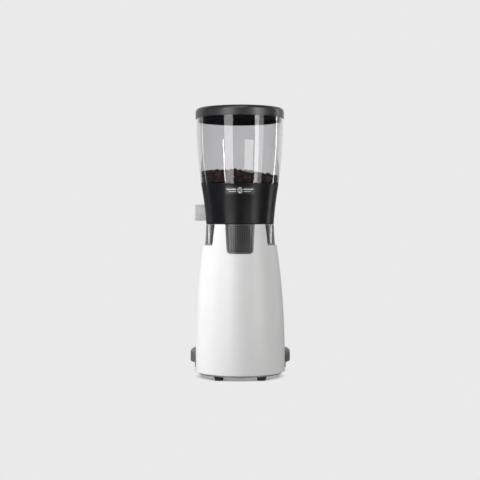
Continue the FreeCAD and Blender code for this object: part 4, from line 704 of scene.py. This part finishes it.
CONTACT_REACH = 14 * MM     # how near a thing must be to shade the floor
CONTACT_OPENNESS = (0.02, 0.9)          # openness of the floor where it is darkest, and where it is plain
CONTACT_DARKEST = 0.07      # brightness of the painted shadow right under the grinder
BEHIND = (0.3, 0.75)        # y of the directions where a mirrored room turns to the pale backdrop
FLOOR_REACH = 60.0
LIGHT_AIM_HIGHEST = 0.7     # lights above this height aim down at it

PIXELS = 480
CAMERA_AWAY, CAMERA_HIGH = 2.668, 0.3478
CAMERA_LENS, CAMERA_SENSOR = 86.25, 36.0        # millimetres
CAMERA_SHIFT = -14          # pixels that the picture is shifted by, so that the view stays level
CAMERA_ROLL = 0.12          # degrees


def by_ray(tree, shown, diffuse, glossy):
    """A shader that shows one thing to the camera, even through clear plastic, and others to the
    rays that light matt faces or are mirrored in glossy ones."""
    path = tree.nodes.new("ShaderNodeLightPath")
    shader = shown
    for depth, other in (("Diffuse Depth", diffuse), ("Glossy Depth", glossy)):
        mix = tree.nodes.new("ShaderNodeMixShader")
        tree.links.new(path.outputs[depth], mix.inputs[0])
        tree.links.new(shader, mix.inputs[1])
        tree.links.new(other, mix.inputs[2])
        shader = mix.outputs[0]
    return shader


def painted_contact_shadow(tree):
    """Brightness of the floor with a painted contact shadow: 1, and less where something stands on it or
    all but touches it.
    """
    contact = tree.nodes.new("ShaderNodeAmbientOcclusion")
    contact.samples = 16
    contact.inputs["Distance"].default_value = CONTACT_REACH
    fade = tree.nodes.new("ShaderNodeMapRange")
    fade.inputs["From Min"].default_value = CONTACT_OPENNESS[0]
    fade.inputs["From Max"].default_value = CONTACT_OPENNESS[1]
    fade.inputs["To Min"].default_value = CONTACT_DARKEST
    tree.links.new(contact.outputs["AO"], fade.inputs["Value"])
    return fade.outputs["Result"]


def floor(around=96):
    """A pale round floor as bright as the backdrop, with a painted contact shadow only where the grinder
    meets it.
    """
    verts = []
    for i in range(around):
        angle = 2 * math.pi * i / around
        verts.append((FLOOR_REACH * math.cos(angle), FLOOR_REACH * math.sin(angle), 0))
    mesh = bpy.data.meshes.new("floor")
    mesh.from_pydata(verts, [], [tuple(range(around))])
    made = bpy.data.objects.new("floor", mesh)
    bpy.context.scene.collection.objects.link(made)
    material = bpy.data.materials.new("floor")
    material.use_nodes = True
    tree = material.node_tree
    tree.nodes.clear()
    brightness = painted_contact_shadow(tree)
    papers = []
    for colour in (BACKDROP, FLOOR_DIFFUSE, FLOOR_GLOSSY):
        paper = tree.nodes.new("ShaderNodeEmission")
        paper.inputs["Color"].default_value = colour
        tree.links.new(brightness, paper.inputs["Strength"])
        papers.append(paper.outputs[0])
    output = tree.nodes.new("ShaderNodeOutputMaterial")
    tree.links.new(by_ray(tree, *papers), output.inputs["Surface"])
    mesh.materials.append(material)


def backdrop():
    """A pale backdrop that shows as it is, but lights the grinder more softly, as in a studio with
    dark walls beside the lamps. What a glossy face mirrors is dark too, except behind the grinder."""
    world = bpy.data.worlds.new("studio")
    world.use_nodes = True
    bpy.context.scene.world = world
    tree = world.node_tree
    shown = tree.nodes["Background"]
    shown.inputs["Color"].default_value = BACKDROP
    diffuse = tree.nodes.new("ShaderNodeBackground")
    diffuse.inputs["Color"].default_value = ROOM_DIFFUSE
    room = tree.nodes.new("ShaderNodeBackground")
    room.inputs["Color"].default_value = ROOM_GLOSSY
    way = tree.nodes.new("ShaderNodeSeparateXYZ")
    tree.links.new(tree.nodes.new("ShaderNodeTexCoord").outputs["Generated"], way.inputs[0])
    behind = tree.nodes.new("ShaderNodeMapRange")
    behind.inputs["From Min"].default_value = BEHIND[0]
    behind.inputs["From Max"].default_value = BEHIND[1]
    tree.links.new(way.outputs["Y"], behind.inputs["Value"])
    glossy = tree.nodes.new("ShaderNodeMixShader")
    tree.links.new(behind.outputs["Result"], glossy.inputs[0])
    tree.links.new(room.outputs[0], glossy.inputs[1])
    tree.links.new(shown.outputs[0], glossy.inputs[2])
    shader = by_ray(tree, shown.outputs[0], diffuse.outputs[0], glossy.outputs[0])
    tree.links.new(shader, tree.nodes["World Output"].inputs["Surface"])


def softbox(name, azimuth, wide, radiance, matt=False, glossy=True, colour=(1, 1, 1), distance=1.5,
            height=0.7, tall=1.6):
    """A rectangular light that faces the grinder and lights its matt faces, or shows in its glossy
    ones, or both. Azimuth 0 is on the camera's side and positive is to its right."""
    light = bpy.data.lights.new(name, "AREA")
    light.shape = "RECTANGLE"
    light.size, light.size_y = wide, tall
    light.energy = radiance * math.pi * wide * tall
    light.color = colour
    made = bpy.data.objects.new(name, light)
    turn = math.radians(azimuth)
    away = Vector((math.sin(turn), -math.cos(turn), 0))
    made.location = Vector((0, AXIS_Y, height)) + away * distance
    aim = Vector((0, AXIS_Y, min(height, LIGHT_AIM_HIGHEST))) - made.location
    made.rotation_euler = aim.to_track_quat("-Z", "Y").to_euler()
    made.visible_camera = False
    made.visible_diffuse = matt
    made.visible_glossy = glossy
    made.visible_transmission = False
    bpy.context.scene.collection.objects.link(made)


def lights():
    """Two lights for the matt faces, one overhead for all, and cards that the glossy faces mirror."""
    softbox("key_left", -75, 0.6, 6.8, matt=True, glossy=False)
    softbox("fill_right", 55, 0.7, 0.40, matt=True, glossy=False, colour=(1.0, 0.90, 0.80))
    softbox("overhead", -4, 0.9, 2.4, matt=True, distance=0.9, height=1.6, tall=0.9)
    softbox("card_left", -29, 0.60, 4.6)
    softbox("strip_left", -43, 0.07, 18.0, height=0.26, tall=0.52)
    softbox("card_right", 45, 0.30, 7.5)
    softbox("card_right_soft", 57, 0.34, 2.6)
    softbox("card_right_low", 24, 0.62, 4.0, height=0.36, tall=0.3)
    softbox("edge_left", -116, 0.05, 5.0)
    softbox("edge_right", 112, 0.12, 7.0)


def camera():
    """Level with the top of the casing, and a good way off."""
    data = bpy.data.cameras.new("camera")
    data.sensor_width = CAMERA_SENSOR
    data.lens = CAMERA_LENS
    data.shift_y = CAMERA_SHIFT / PIXELS
    data.clip_end = 200
    made = bpy.data.objects.new("camera", data)
    made.location = (0, AXIS_Y - CAMERA_AWAY, CAMERA_HIGH)
    made.rotation_euler = (math.radians(90), math.radians(CAMERA_ROLL), 0)
    bpy.context.scene.collection.objects.link(made)
    bpy.context.scene.camera = made


bpy.context.scene.view_settings.view_transform = "Standard"
camera()
backdrop()
floor()
lights()
finish_nodes()
coffee_beans()
grille_shade_sheet()
badge_emblem()
display_digits()
button_marks()
knob_marks()
rocker_marks()
